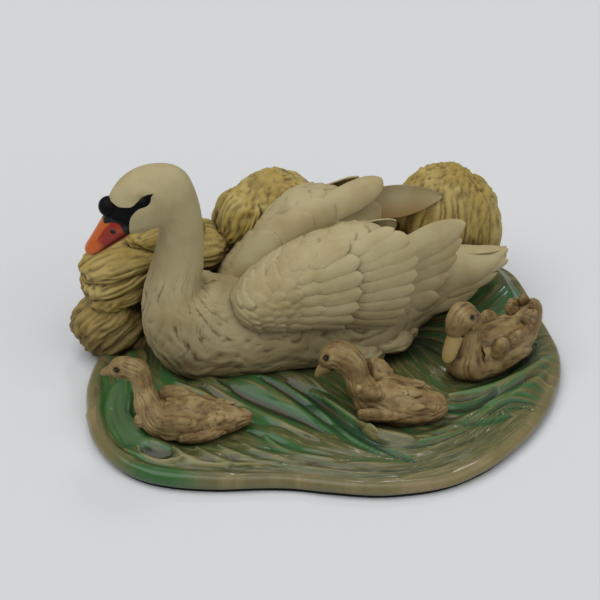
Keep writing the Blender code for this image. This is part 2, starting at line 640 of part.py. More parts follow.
def add_felt(collection, material):
    pad = outline_curve("felt_pad", FELT_INSET, collection)
    pad.data.extrude = FELT_THICKNESS / 2
    pad.location.z = FELT_THICKNESS / 2
    pad = curve_to_mesh(pad, collection)
    pad.data.materials.append(material)


def main():
    clear_scene()
    swan_group = add_collection("swan_group")
    pieces = add_collection("cast_forms")
    resin = make_material("painted_resin", (0.62, 0.55, 0.40), 0.55)
    felt = make_material("green_felt", (0.02, 0.06, 0.03), 0.95)
    base = add_base(swan_group)
    add_crests(pieces)
    add_swell(pieces)
    add_body(pieces)
    add_head_and_neck(pieces)
    add_wings(pieces)
    add_rocks(pieces)
    for name, cygnet in CYGNETS.items():
        add_cygnet(name, cygnet, pieces)
    fuse("swan_casting", base, pieces, swan_group, resin)
    add_felt(swan_group, felt)


main()
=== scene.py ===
import bpy
import math
import numpy as np
from mathutils import Matrix, Vector


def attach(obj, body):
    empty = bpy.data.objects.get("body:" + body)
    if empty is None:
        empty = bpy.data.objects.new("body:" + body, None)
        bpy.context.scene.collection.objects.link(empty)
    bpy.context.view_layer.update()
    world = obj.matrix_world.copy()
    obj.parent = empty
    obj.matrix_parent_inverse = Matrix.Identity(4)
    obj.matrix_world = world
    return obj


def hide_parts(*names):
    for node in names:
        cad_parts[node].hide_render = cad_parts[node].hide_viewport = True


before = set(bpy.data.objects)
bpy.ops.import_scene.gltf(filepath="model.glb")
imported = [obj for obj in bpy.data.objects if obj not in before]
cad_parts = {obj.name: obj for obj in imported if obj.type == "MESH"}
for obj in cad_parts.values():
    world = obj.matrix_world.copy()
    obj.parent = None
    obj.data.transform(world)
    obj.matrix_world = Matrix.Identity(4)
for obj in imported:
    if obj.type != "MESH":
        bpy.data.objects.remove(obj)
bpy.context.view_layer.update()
millimetre = 0.001
swanMiddle = 23.0  # y of the swan's middle plane; every table below is in millimetres

# Grids, noise and paint helpers


def smoothThrough(table, count, measured=3):
    # a cubic through the table's rows, cut into steps that are even along its first columns
    rows = np.asarray(table, float)
    ends = np.vstack([2 * rows[0] - rows[1], rows, 2 * rows[-1] - rows[-2]])
    s = np.linspace(0, len(rows) - 1, (len(rows) - 1) * 24 + 1)
    i = np.minimum(s.astype(int), len(rows) - 2)
    f = (s - i)[:, None]
    a, b, c, d = ends[i], ends[i + 1], ends[i + 2], ends[i + 3]
    curve = 0.5 * (2 * b + (c - a) * f + (2 * a - 5 * b + 4 * c - d) * f**2 + (3 * b - a - 3 * c + d) * f**3)
    steps = np.linalg.norm(np.diff(curve[:, :measured], axis=0), axis=1)
    run = np.concatenate([[0], np.cumsum(steps + 1e-6)])
    at = np.linspace(0, run[-1], count)
    return np.stack([np.interp(at, run, column) for column in curve.T], axis=1)


def step(low, high, x):
    # 0 below low, 1 above high, smooth between
    t = np.clip((x - low) / (high - low), 0, 1)
    return t * t * (3 - 2 * t)


def powered(value, power):
    # a power that keeps the sign
    return np.sign(value) * np.abs(value) ** power


def scatter(*cells, seed=0):
    # a fixed random number from 0 to 1 for each whole-numbered cell
    h = np.full(np.broadcast(*cells).shape, 2166136261 + seed * 97, np.uint64)
    for cell in cells:
        h = h ^ (np.asarray(cell).astype(np.int64) & 0xFFFFFFFF).astype(np.uint64)
        h = h * np.uint64(16777619)
        h = (h ^ (h >> np.uint64(15))) & np.uint64(0xFFFFFFFF)
    h = (h * np.uint64(2246822519)) & np.uint64(0xFFFFFFFF)
    h = h ^ (h >> np.uint64(13))
    return (h & np.uint64(0xFFFF)).astype(float) / 65535


def lumps(points, size, seed=0):
    # value noise from -1 to 1 that varies over about size
    p = np.asarray(points, float) / size
    cell = np.floor(p)
    f = p - cell
    f = f * f * (3 - 2 * f)
    total = 0
    for dx in (0, 1):
        for dy in (0, 1):
            for dz in (0, 1):
                w = (f[..., 0] if dx else 1 - f[..., 0]) * (f[..., 1] if dy else 1 - f[..., 1])
                w = w * (f[..., 2] if dz else 1 - f[..., 2])
                corner = scatter(cell[..., 0] + dx, cell[..., 1] + dy, cell[..., 2] + dz, seed=seed)
                total = total + w * corner
    return total * 2 - 1


def rough(points, size, octaves=3, seed=0, keep=0.5):
    # lumps of several sizes, each half as large as the one before
    total = 0
    weight = 0
    for k in range(octaves):
        total = total + keep**k * lumps(points, size / 2**k, seed + 11 * k)
        weight += keep**k
    return total / weight


def stack3(a, b, c):
    return np.stack(np.broadcast_arrays(a, b, c), axis=-1)


def distanceAlong(points):
    # how far each point of a path lies from its start
    return np.concatenate([[0], np.cumsum(np.linalg.norm(np.diff(points, axis=0), axis=1))])


def outward(points):
    # unit normals of a closed tube of rings, turned away from each ring's middle
    du = np.gradient(points, axis=0)
    dv = (np.roll(points, -1, axis=1) - np.roll(points, 1, axis=1)) / 2
    n = np.cross(du, dv)
    n /= np.linalg.norm(n, axis=2, keepdims=True) + 1e-9
    away = np.sum(n * (points - points.mean(axis=1, keepdims=True)))
    return n if away > 0 else -n


def blurred(values, reach):
    # two box averages each way; the columns go round and the rows stop at their ends
    total = values.copy()
    for _ in range(2):
        for axis in (0, 1):
            part = total.copy()
            for k in range(1, reach + 1):
                if axis == 1:
                    part = part + np.roll(total, k, 1) + np.roll(total, -k, 1)
                else:
                    up = np.concatenate([total[k:], np.repeat(total[-1:], k, 0)])
                    down = np.concatenate([np.repeat(total[:1], k, 0), total[:-k]])
                    part = part + up + down
            total = part / (2 * reach + 1)
    return total


def sampled(xs, ys, values, x, y):
    # the map's value at each x and y, straight between its cells
    i = np.clip((x - xs[0]) / (xs[1] - xs[0]), 0, len(xs) - 1.001)
    j = np.clip((y - ys[0]) / (ys[1] - ys[0]), 0, len(ys) - 1.001)
    i0, j0 = i.astype(int), j.astype(int)
    fi, fj = i - i0, j - j0
    return (values[i0, j0] * (1 - fi) * (1 - fj) + values[i0 + 1, j0] * fi * (1 - fj)
            + values[i0, j0 + 1] * (1 - fi) * fj + values[i0 + 1, j0 + 1] * fi * fj)


def hollows(height, reach, depth):
    # 1 where the height lies depth below its surroundings, 0 where it stands out
    return np.clip((blurred(height, reach) - height) / depth, -1, 1)


def plumage(along, across, columns, seed, length, width, point, stray):
    # overlapping feathers on a staggered grid of cells: each one rises from its root to its rounded tip
    # and drops there onto the next; the highest of the neighbours shows
    best = np.full(np.broadcast(along, across).shape, -1.0)
    tint = np.zeros_like(best)
    rowAt = np.floor(along)
    for dr in (-1, 0, 1, 2):
        row = rowAt + dr
        shift = 0.5 * np.mod(row, 2)
        columnAt = np.floor(across - shift)
        for dc in (-1, 0, 1):
            column = columnAt + dc
            key = np.mod(column, columns)
            r1 = scatter(row, key, seed=seed) - 0.5
            r2 = scatter(row, key, seed=seed + 1) - 0.5
            r3 = scatter(row, key, seed=seed + 2) - 0.5
            tip = row + 0.5 + stray * 2 * r1
            a = (across - (column + 0.5 + shift + stray * r2)) / width
            b = 1 - (tip - along) / length
            a = a + 0.5 * r3 * (b - 0.5)
            outline = np.clip(1 - np.clip((b - 1 + point) / point, 0, 1) ** 2, 0, 1) ** 0.5
            inside = (b > 0) & (b < 1) & (np.abs(a) < outline)
            h = 0.25 + 0.75 * b - 0.28 * (a / np.maximum(outline, 0.2)) ** 2 + 0.12 * r2
            better = inside & (h > best)
            best = np.where(better, h, best)
            tint = np.where(better, r1 + 0.5, tint)
    return np.clip(best, 0, 1.2), tint


def tubeGrid(points, **values):
    # one closed surface: rings of points with capped ends, and what is painted by its numbers
    return {"points": points, "values": values}


def addPiece(name, grids, material, slotName, node):
    # one mesh of all the grids; each is turned face out by the sign of its volume
    verts, quads, tris, painted = [], [], [], {}
    names = sorted({key for grid in grids for key in grid["values"]})
    first = 0
    for grid in grids:
        p = grid["points"]
        nu, nv, _ = p.shape
        ends = np.stack([p[0].mean(0), p[-1].mean(0)])
        ids = first + np.arange(nu * nv).reshape(nu, nv)
        nxt = np.roll(ids, -1, axis=1)
        quad = np.stack([ids[:-1], nxt[:-1], nxt[1:], ids[1:]], axis=-1).reshape(-1, 4)
        a, b = first + nu * nv, first + nu * nv + 1
        low = np.stack([np.full(nv, a), nxt[0], ids[0]], axis=-1)
        high = np.stack([np.full(nv, b), ids[-1], nxt[-1]], axis=-1)
        allPoints = np.vstack([p.reshape(-1, 3), ends])
        tri = np.vstack([low, high])
        corners = np.vstack([quad[:, [0, 1, 2]], quad[:, [0, 2, 3]], tri]) - first
        one, two, three = (allPoints[corners[:, k]] for k in range(3))
        if np.einsum("ij,ij->i", one, np.cross(two, three)).sum() < 0:
            quad, tri = quad[:, ::-1], tri[:, ::-1]
        verts.append(allPoints)
        quads.append(quad)
        tris.append(tri)
        for key in names:
            value = np.broadcast_to(np.asarray(grid["values"].get(key, 0.0), float), (nu, nv))
            flat = np.concatenate([value.ravel(), [value[0].mean(), value[-1].mean()]])
            painted.setdefault(key, []).append(flat)
        first += nu * nv + 2
    verts = np.vstack(verts) * millimetre
    quads, tris = np.vstack(quads), np.vstack(tris)
    mesh = bpy.data.meshes.new(name)
    mesh.vertices.add(len(verts))
    mesh.vertices.foreach_set("co", verts.ravel())
    mesh.loops.add(quads.size + tris.size)
    mesh.loops.foreach_set("vertex_index", np.concatenate([quads.ravel(), tris.ravel()]))
    mesh.polygons.add(len(quads) + len(tris))
    starts = np.concatenate([np.arange(len(quads)) * 4, quads.size + np.arange(len(tris)) * 3])
    mesh.polygons.foreach_set("loop_start", starts)
    mesh.update(calc_edges=True)
    mesh.validate()
    mesh.shade_smooth()
    for key in names:
        layer = mesh.attributes.new(key, "FLOAT", "POINT")
        layer.data.foreach_set("value", np.concatenate(painted[key]).astype(np.float32))
    piece = bpy.data.objects.new(name, mesh)
    bpy.context.scene.collection.objects.link(piece)
    mesh.materials.append(material)
    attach(piece, "root")
    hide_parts(node)
    print(name, len(quads) * 2 + len(tris), "triangles")


# Paint


def paint(name, roughness, specular=0.5, coat=0.0, coatRoughness=0.2):
    # a new material with these plain numbers; its colour is linked later
    material = bpy.data.materials.new(name)
    material.use_nodes = True
    tree = material.node_tree
    shader = tree.nodes["Principled BSDF"]
    shader.inputs["Roughness"].default_value = roughness
    shader.inputs["Specular IOR Level"].default_value = specular
    shader.inputs["Coat Weight"].default_value = coat
    shader.inputs["Coat Roughness"].default_value = coatRoughness
    return material, tree, shader


def socket(tree, target, value):
    # links an output to the target, or sets the target to a plain value
    if isinstance(value, bpy.types.NodeSocket):
        tree.links.new(value, target)
    elif isinstance(value, tuple) and len(value) == 3 and target.type == "RGBA":
        target.default_value = (*value, 1.0)
    else:
        target.default_value = value


def mixed(tree, share, first, second):
    node = tree.nodes.new("ShaderNodeMix")
    node.data_type = "RGBA"
    socket(tree, node.inputs[0], share)
    socket(tree, node.inputs[6], first)
    socket(tree, node.inputs[7], second)
    return node.outputs[2]


def maths(tree, operation, first, second):
    node = tree.nodes.new("ShaderNodeMath")
    node.operation = operation
    socket(tree, node.inputs[0], first)
    socket(tree, node.inputs[1], second)
    return node.outputs[0]


def ranged(tree, value, low, high, toLow=0.0, toHigh=1.0):
    # a smooth step from toLow to toHigh as the value goes from low to high
    node = tree.nodes.new("ShaderNodeMapRange")
    node.interpolation_type = "SMOOTHSTEP"
    for target, item in zip(node.inputs, (value, low, high, toLow, toHigh)):
        socket(tree, target, item)
    return node.outputs[0]


def numberOf(tree, name):
    node = tree.nodes.new("ShaderNodeAttribute")
    node.attribute_name = name
    return node.outputs["Fac"]


def objectPlace(tree):
    return tree.nodes.new("ShaderNodeTexCoord").outputs["Object"]


def washed(tree, colour, over, value, low, high, least=0.0, most=1.0):
    # the colour with another laid over it, from least to most as the value goes from low to high
    return mixed(tree, ranged(tree, value, low, high, least, most), colour, over)


def stirred(tree, value, noise, amount):
    # the value moved up and down by noise
    return maths(tree, "ADD", value, maths(tree, "MULTIPLY", maths(tree, "SUBTRACT", noise, 0.5), amount))


def speckle(tree, place, scale, detail=3.0, roughness=0.55):
    node = tree.nodes.new("ShaderNodeTexNoise")
    tree.links.new(place, node.inputs["Vector"])
    node.inputs["Scale"].default_value = scale
    node.inputs["Detail"].default_value = detail
    node.inputs["Roughness"].default_value = roughness
    return node.outputs["Fac"]


def grain(tree, shader, height, strength, distance):
    node = tree.nodes.new("ShaderNodeBump")
    node.inputs["Strength"].default_value = strength
    node.inputs["Distance"].default_value = distance
    tree.links.new(height, node.inputs["Height"])
    tree.links.new(node.outputs[0], shader.inputs["Normal"])


def heightAbove(tree):
    split = tree.nodes.new("ShaderNodeSeparateXYZ")
    tree.links.new(objectPlace(tree), split.inputs[0])
    return split.outputs["Z"]


swanPaint = {
    "ivory": (0.45, 0.385, 0.215), "warm": (0.385, 0.31, 0.155), "washAndShade": (0.075, 0.048, 0.020),
    "grimeAndShade": (0.16, 0.118, 0.055), "gold": (0.22, 0.125, 0.036), "black": (0.0022, 0.0022, 0.003),
}


def crevices(tree, distance):
    # how closed in a place is, from 0 in the open to 1 deep between pieces; the paints darken by it as
    # painted shade
    node = tree.nodes.new("ShaderNodeAmbientOcclusion")
    node.samples = 6
    node.inputs["Distance"].default_value = distance
    return maths(tree, "SUBTRACT", 1.0, node.outputs["AO"])


def makeSwanPaint():
    material, tree, shader = paint("ivory_resin", 0.62, 0.10)
    place = objectPlace(tree)
    patch = speckle(tree, place, 70.0)
    colour = washed(tree, swanPaint["ivory"], swanPaint["warm"], patch, 0.35, 0.7)
    fine = speckle(tree, place, 900.0, 2.0)
    # darker in the hollows of the relief and where feathers overlap: brown wash and painted shade
    hollow = stirred(tree, numberOf(tree, "hollow"), fine, 0.5)
    colour = washed(tree, colour, swanPaint["washAndShade"], hollow, 0.10, 0.80, 0.0, 0.80)
    # brown wash and painted shade in the crevices between pieces
    colour = washed(tree, colour, swanPaint["washAndShade"], crevices(tree, 0.006), 0.30, 0.85, 0.0, 0.65)
    # darker towards the bottom: grime and painted shade
    low = ranged(tree, heightAbove(tree), 0.050, 0.008, 0.0, 0.60)
    low = maths(tree, "MULTIPLY", low, ranged(tree, patch, 0.2, 0.7, 0.6, 1.0))
    colour = mixed(tree, low, colour, swanPaint["grimeAndShade"])
    # gold-brown painted shade on the lower half of the far primaries
    colour = mixed(tree, numberOf(tree, "gold"), colour, swanPaint["gold"])
    colour = washed(tree, colour, swanPaint["black"], numberOf(tree, "mask"), -0.12, 0.12)
    tree.links.new(colour, shader.inputs["Base Color"])
    grain(tree, shader, speckle(tree, place, 1400.0, 2.0), 0.18, 0.0003)
    return material


rockPaint = {
    "ochre": (0.37, 0.265, 0.062), "pale": (0.47, 0.365, 0.125),
    "brown": (0.095, 0.058, 0.018), "dark": (0.016, 0.009, 0.005),
}


def makeRockPaint():
    material, tree, shader = paint("ochre_rock", 0.6, 0.3)
    place = objectPlace(tree)
    patch = speckle(tree, place, 60.0, 4.0)
    fine = speckle(tree, place, 700.0, 3.0)
    colour = washed(tree, rockPaint["ochre"], rockPaint["pale"], patch, 0.35, 0.65)
    # the hollow value carries painted shade on the left and lower faces
    hollow = stirred(tree, numberOf(tree, "hollow"), fine, 0.6)
    colour = washed(tree, colour, rockPaint["brown"], hollow, -0.25, 0.75, 0.0, 0.80)
    low = ranged(tree, heightAbove(tree), 0.036, 0.008, 0.0, 0.70)
    low = maths(tree, "MULTIPLY", low, ranged(tree, patch, 0.3, 0.6, 0.6, 1.0))
    colour = mixed(tree, low, colour, rockPaint["brown"])
    colour = washed(tree, colour, rockPaint["dark"], hollow, 0.60, 1.3, 0.0, 0.9)
    # painted shade between the rocks and in deep creases
    colour = washed(tree, colour, rockPaint["dark"], crevices(tree, 0.009), 0.30, 0.85, 0.0, 0.9)
    tree.links.new(colour, shader.inputs["Base Color"])
    grain(tree, shader, fine, 0.45, 0.0006)
    return material


cygnetPaint = {
    "tan": (0.190, 0.117, 0.040), "light": (0.32, 0.232, 0.096), "washAndShade": (0.050, 0.026, 0.009),
    "bill": (0.30, 0.215, 0.075), "eye": (0.006, 0.004, 0.003),
}


def makeCygnetPaint():
    material, tree, shader = paint("tan_down", 0.55, 0.35)
    place = objectPlace(tree)
    patch = speckle(tree, place, 160.0, 3.0)
    fine = speckle(tree, place, 1100.0, 2.0)
    colour = washed(tree, cygnetPaint["tan"], cygnetPaint["light"], patch, 0.35, 0.7)
    hollow = stirred(tree, numberOf(tree, "hollow"), fine, 0.5)
    # lighter where the down stands out, and darker in its hollows by brown wash and painted shade
    colour = washed(tree, colour, cygnetPaint["light"], hollow, -0.9, -0.1, 0.35, 0.0)
    colour = washed(tree, colour, cygnetPaint["washAndShade"], hollow, 0.05, 0.9, 0.0, 0.72)
    # painted shade between pieces and in creases
    colour = washed(tree, colour, cygnetPaint["washAndShade"], crevices(tree, 0.005), 0.30, 0.80, 0.0, 0.85)
    colour = washed(tree, colour, cygnetPaint["eye"], hollow, 1.4, 1.8)
    # darker towards the bottom
    colour = washed(tree, colour, cygnetPaint["washAndShade"], heightAbove(tree), 0.013, 0.008, 0.0, 0.7)
    colour = mixed(tree, numberOf(tree, "bill"), colour, cygnetPaint["bill"])
    tree.links.new(colour, shader.inputs["Base Color"])
    grain(tree, shader, fine, 0.2, 0.0003)
    return material


waterPaint = {
    "olive": (0.080, 0.088, 0.030), "cream": (0.215, 0.175, 0.066), "green": (0.034, 0.112, 0.030),
    "deep": (0.010, 0.036, 0.016), "mint": (0.105, 0.195, 0.066), "brown": (0.060, 0.036, 0.014),
    "tan": (0.29, 0.215, 0.105), "light": (0.24, 0.23, 0.098), "shadow": (0.020, 0.030, 0.012),
}


def makeWaterPaint():
    material, tree, shader = paint("green_water", 0.38, 0.3, 0.28, 0.09)
    node = tree.nodes.new("ShaderNodeCombineXYZ")
    tree.links.new(numberOf(tree, "lane"), node.inputs[0])
    tree.links.new(numberOf(tree, "run"), node.inputs[1])
    broad = speckle(tree, node.outputs[0], 2.6, 4.0, 0.6)
    thin = speckle(tree, node.outputs[0], 7.0, 3.0, 0.6)
    patch = speckle(tree, objectPlace(tree), 45.0, 3.0)
    colour = washed(tree, waterPaint["olive"], waterPaint["cream"], thin, 0.45, 0.70)
    wander = maths(tree, "MULTIPLY", numberOf(tree, "calm"), 3.0)
    green = stirred(tree, numberOf(tree, "green"), broad, wander)
    colour = washed(tree, colour, waterPaint["green"], green, 0.30, 0.70)
    colour = washed(tree, colour, waterPaint["deep"], green, 0.90, 1.5, 0.0, 0.8)
    crest = stirred(tree, numberOf(tree, "crest"), thin, 0.9)
    pale = washed(tree, waterPaint["cream"], waterPaint["mint"], green, 0.1, 0.6)
    colour = washed(tree, colour, pale, crest, 0.20, 0.85, 0.0, 0.6)
    low = washed(tree, waterPaint["brown"], waterPaint["deep"], patch, 0.4, 0.6)
    colour = washed(tree, colour, low, numberOf(tree, "hollow"), 0.10, 0.75, 0.0, 0.85)
    # painted highlights where the light value is above 0, painted shadow where it is below 0
    light = numberOf(tree, "light")
    highlightColour = washed(tree, waterPaint["light"], waterPaint["mint"], green, 0.4, 1.0)
    colour = washed(tree, colour, highlightColour, light, 0.35, 1.0, 0.0, 0.6)
    colour = washed(tree, colour, waterPaint["shadow"], light, -0.2, -1.0, 0.0, 0.75)
    rim = washed(tree, waterPaint["tan"], waterPaint["cream"], patch, 0.42, 0.6)
    colour = mixed(tree, maths(tree, "MULTIPLY", numberOf(tree, "rim"), 0.9), colour, rim)
    colour = washed(tree, colour, waterPaint["shadow"], crevices(tree, 0.008), 0.35, 0.85, 0.0, 0.85)
    tree.links.new(colour, shader.inputs["Base Color"])
    grain(tree, shader, thin, 0.35, 0.0008)
    return material


def makePlainPaint(name, colour, roughness, specular=0.5):
    material, tree, shader = paint(name, roughness, specular)
    fine = speckle(tree, objectPlace(tree), 500.0, 2.0)
    darker = tuple(0.7 * c for c in colour)
    tree.links.new(washed(tree, darker, colour, fine, 0.3, 0.7), shader.inputs["Base Color"])
    grain(tree, shader, fine, 0.08, 0.0002)
    return material


billPaint = {
    "orange": (0.50, 0.10, 0.010), "red": (0.26, 0.014, 0.005), "bright": (0.60, 0.20, 0.02),
    "black": (0.003, 0.002, 0.002),
}


def makeBillPaint():
    material, tree, shader = paint("orange_bill", 0.38, 0.4, 0.15, 0.25)
    patch = speckle(tree, objectPlace(tree), 260.0)
    colour = washed(tree, billPaint["orange"], billPaint["red"], numberOf(tree, "side"), 0.25, 0.8)
    colour = washed(tree, colour, billPaint["bright"], patch, 0.45, 0.75, 0.0, 0.35)
    colour = washed(tree, colour, billPaint["black"], numberOf(tree, "black"), -0.1, 0.1)
    tree.links.new(colour, shader.inputs["Base Color"])
    return material


# Swan trunk: head, neck, breast, body and tail in one skin

trunkShape = {
    # back or top edge x, z; front or bottom edge x, z; half width; squareness of the section
    "stations": [
        (-78, 79.6, -77.4, 76.4, 1.6, 2), (-77.2, 83.6, -75.6, 73.2, 3.8, 2),
        (-75.2, 88, -73.2, 71, 5.6, 2), (-71.8, 92, -70.8, 69.9, 7.4, 2), (-67, 95, -68, 69.9, 8.7, 2),
        (-61.5, 96.3, -64.8, 70.3, 9.4, 2), (-56, 96.1, -61.6, 70.9, 9.4, 2),
        (-51.3, 94.6, -59.6, 70.9, 9.1, 2), (-47.6, 91.3, -58.9, 70.1, 8.6, 2),
        (-45.4, 86.4, -58.7, 68.4, 8.2, 2), (-43.7, 80.2, -58.9, 66.2, 7.9, 2),
        (-42.7, 73.6, -59.4, 63.6, 7.8, 2), (-42.2, 65.8, -60.4, 60, 7.9, 2),
        (-42.3, 58.2, -61.8, 55.2, 8.4, 2), (-42.8, 52, -63.3, 50.6, 9.3, 2),
        (-43.6, 47, -64.9, 45.6, 10.6, 2), (-44, 43.6, -66, 40.6, 12, 2),
        (-43.2, 42.6, -66.8, 35.2, 13.6, 2.05), (-40.6, 43, -66.9, 28.8, 15.2, 2.1),
        (-37.4, 42.4, -66, 21.6, 16.8, 2.15), (-34, 40.4, -63.2, 13.2, 18.2, 2.2),
        (-28, 39, -56.5, 5.4, 19.6, 2.3), (-20, 39, -42, 3, 21.6, 2.3), (-8, 39.2, -20, 3, 24.2, 2.3),
        (8, 40, 3, 3, 26, 2.3), (22, 41, 20, 3.5, 25.4, 2.3), (31, 41.2, 30.5, 5.5, 21.6, 2.2),
        (40, 41, 40, 10, 17.4, 2.2), (48, 40.8, 48, 14.4, 14, 2.2), (57, 40.2, 57, 19.6, 11.6, 2.2),
        (66, 38.9, 66, 23, 9.2, 2.1), (74, 37.4, 73.5, 28.6, 6.2, 2.1), (78.6, 36.4, 77.8, 31.8, 3.8, 2),
        (80.2, 35.2, 79.8, 33.4, 1.5, 2),
    ],
    "rows": 400, "columns": 190,
}


def ringsOf(table, columns):
    # each ring runs from its back edge by the side to its front edge and round, as a superellipse
    back, front = table[:, 0:2], table[:, 2:4]
    angle = np.arange(columns) / columns * 2 * math.pi
    c, s = np.cos(angle)[None, :], np.sin(angle)[None, :]
    power = 2 / table[:, 5:6]
    lengthways, sideways = powered(c, power), powered(s, power)
    middle, half = (back + front) / 2, (back - front) / 2
    x = middle[:, 0:1] + half[:, 0:1] * lengthways
    z = middle[:, 1:2] + half[:, 1:2] * lengthways
    y = swanMiddle - table[:, 4:5] * sideways
    return stack3(x, y, z), angle


maskOutline = [
    (-81.5, 84.3), (-82.4, 87.2), (-81.6, 90.6), (-79.5, 91.4), (-77.5, 89.4), (-75.1, 86.9), (-72.6, 86),
    (-70, 85.7), (-68.1, 87.1), (-66.6, 88.5), (-65.3, 89.4), (-63.6, 89.9), (-61, 89.8), (-62.4, 88.9),
    (-62.8, 86.6), (-64.2, 85), (-67, 84.3), (-68.5, 83.4), (-70.2, 81.6), (-71, 79.6), (-71.4, 77),
    (-71.6, 74.2), (-73, 74.4), (-74.4, 78), (-75.6, 79.6), (-78, 80.6), (-81, 81),
]


def maskEdge(p):
    # above 0 inside the black paint, which is drawn on a plane that leans the way the face narrows
    lean = np.abs(p[..., 1] - swanMiddle) - 8.5
    x, z = p[..., 0] + 0.268 * lean, p[..., 2] - 0.725 * lean
    shape = smoothThrough(maskOutline + maskOutline[:1], 90, 2)
    gap = np.full(x.shape, 1e9)
    inside = np.zeros(x.shape, bool)
    for (x0, z0), (x1, z1) in zip(shape[:-1], shape[1:]):
        dx, dz = x1 - x0, z1 - z0
        t = np.clip(((x - x0) * dx + (z - z0) * dz) / (dx**2 + dz**2 + 1e-9), 0, 1)
        gap = np.minimum(gap, np.hypot(x - x0 - t * dx, z - z0 - t * dz))
        crosses = (z0 > z) != (z1 > z)
        inside ^= crosses & (x < x0 + (z - z0) * dx / (dz + 1e-12))
    return np.where(inside, gap, -gap)


rumpLobes = [
    # middle, half sizes, tilt about Y of the soft lobes of down behind the flank
    ((12.6, 0.9, 16.4), (11.2, 4.2, 8.4), 14), ((25.8, 4.8, 17.0), (9.6, 4.8, 9.4), 8),
    ((32.6, 9.6, 16.0), (6.8, 4.6, 7.2), 0),
]


def makeLobes():
    grids = []
    for side in (-1, 1):
        for k, ((x, y, z), sizes, tilt) in enumerate(rumpLobes):
            p = ballGrid((0, 0, 0), sizes, 36, 40, turned("X", 90), 0.9) @ turned("Y", tilt).T
            p = p + np.array((x, swanMiddle + side * (swanMiddle - y), z))
            # strands fan out from a point in front of the lobe
            fan = np.arctan2(p[..., 2] - z, p[..., 0] - x + 3.0 * sizes[0])
            strands = rough(stack3(p[..., 0] / 7.0, fan * 34, 0 * fan), 1.0, 2, 90 + k)
            h = 0.60 * strands + 0.45 * rough(p, 5, 2, 95 + k)
            p = p + outward(p) * h[..., None]
            grids.append(tubeGrid(p, hollow=hollows(h, 3, 0.5), mask=-5.0, gold=0.0))
    return grids


def makeTrunk():
    table = smoothThrough(trunkShape["stations"], trunkShape["rows"], 4)
    points, angle = ringsOf(table, trunkShape["columns"])
    normal = outward(points)
    run = distanceAlong((table[:, 0:2] + 2 * table[:, 2:4]) / 3)
    x, y, z = points[..., 0], points[..., 1], points[..., 2]
    u = np.broadcast_to(run[:, None], x.shape)
    # feathers grow from small tufts on the neck to broad soft ones on the flank
    size = np.interp(run, [0, 55, 75, 95, 130, 200], [2.2, 2.6, 3.6, 5.0, 9.0, 12.0])
    rows = np.concatenate([[0], np.cumsum(np.diff(run) / size[1:])])
    columns = 26
    along = rows[:, None] + 0.55 * rough(points, 9, 2, 3)
    across = angle[None, :] / (2 * math.pi) * columns + 0.55 * rough(points, 8, 2, 5)
    tufts, tint = plumage(along, across, columns, seed=2, length=2.3, width=0.58, point=0.95, stray=0.45)
    tufts = blurred(tufts, 1)
    onBreast = step(-30, -38, x)
    onNeck = step(50, 30, z) * onBreast
    onFlank = step(-44, -34, x) * step(60, 44, x) * step(34, 28, z)
    amount = 1.2 * onNeck * step(38, 20, z) + 1.1 * onFlank * (1 - onNeck)
    height = amount * (tufts - 0.55)
    # short curved strands swirl down the breast
    swirlU = u + 5.0 * lumps(points, 13, 61) + 2.5 * lumps(points, 6, 62)
    swirlV = angle[None, :] * 13.0 + 6.0 * lumps(points, 14, 63) + 2.2 * lumps(points, 6, 64)
    strands = rough(stack3(swirlU / 7.5, swirlV / 1.5, 0 * u), 1.0, 3, 8, 0.6)
    height = height + strands * (0.62 * step(60, 44, z) * onBreast + 0.40 * onFlank * (1 - onNeck) + 0.03)
    height = height + 0.35 * rough(points, 11, 2, 21) * step(60, 40, z)
    # shallow socket round the eye, with a brow above it, and a crease under the cheek
    for side in (-1, 1):
        gap = np.sqrt((x + 65.4) ** 2 + (z - 87.2) ** 2 + 0.5 * (y - swanMiddle - side * 9.4) ** 2)
        brow = 0.45 * np.exp(-(((gap - 4.2) / 1.5) ** 2)) * step(86, 90, z)
        height = height - 0.55 * np.exp(-((gap / 2.6) ** 2)) + brow
    cheek = np.exp(-((((x + 70) * 0.35 - (z - 74.5)) / 1.6) ** 2))
    height = height + 0.35 * (cheek * step(-60, -66, x) * step(-77, -73, x))
    points = points + normal * height[..., None]
    hollow = hollows(height, 3, 0.45) + 0.25 * (tint - 0.5) * onFlank
    mask = np.where(x < -57, maskEdge(points), -5.0)
    return tubeGrid(points, hollow=hollow, mask=mask, gold=0.0)


# Bill, knob and eyes

billShape = {
    # x, z of the middle, half height, half width, from the face to the tip
    "stations": [
        (-70.5, 77.6, 5, 6.4), (-73.4, 75.2, 5.7, 6.6), (-75.6, 73.2, 5.5, 6.2), (-78.2, 70.7, 4.7, 5.2),
        (-80.6, 68.4, 3.9, 4.4), (-82.8, 66.4, 3.1, 3.9), (-84.6, 64.9, 2.4, 3.3),
        (-85.9, 63.9, 1.5, 2.3), (-86.4, 63.5, 0.5, 1),
    ],
    "lean": -40.0, "rows": 90, "columns": 84,
}


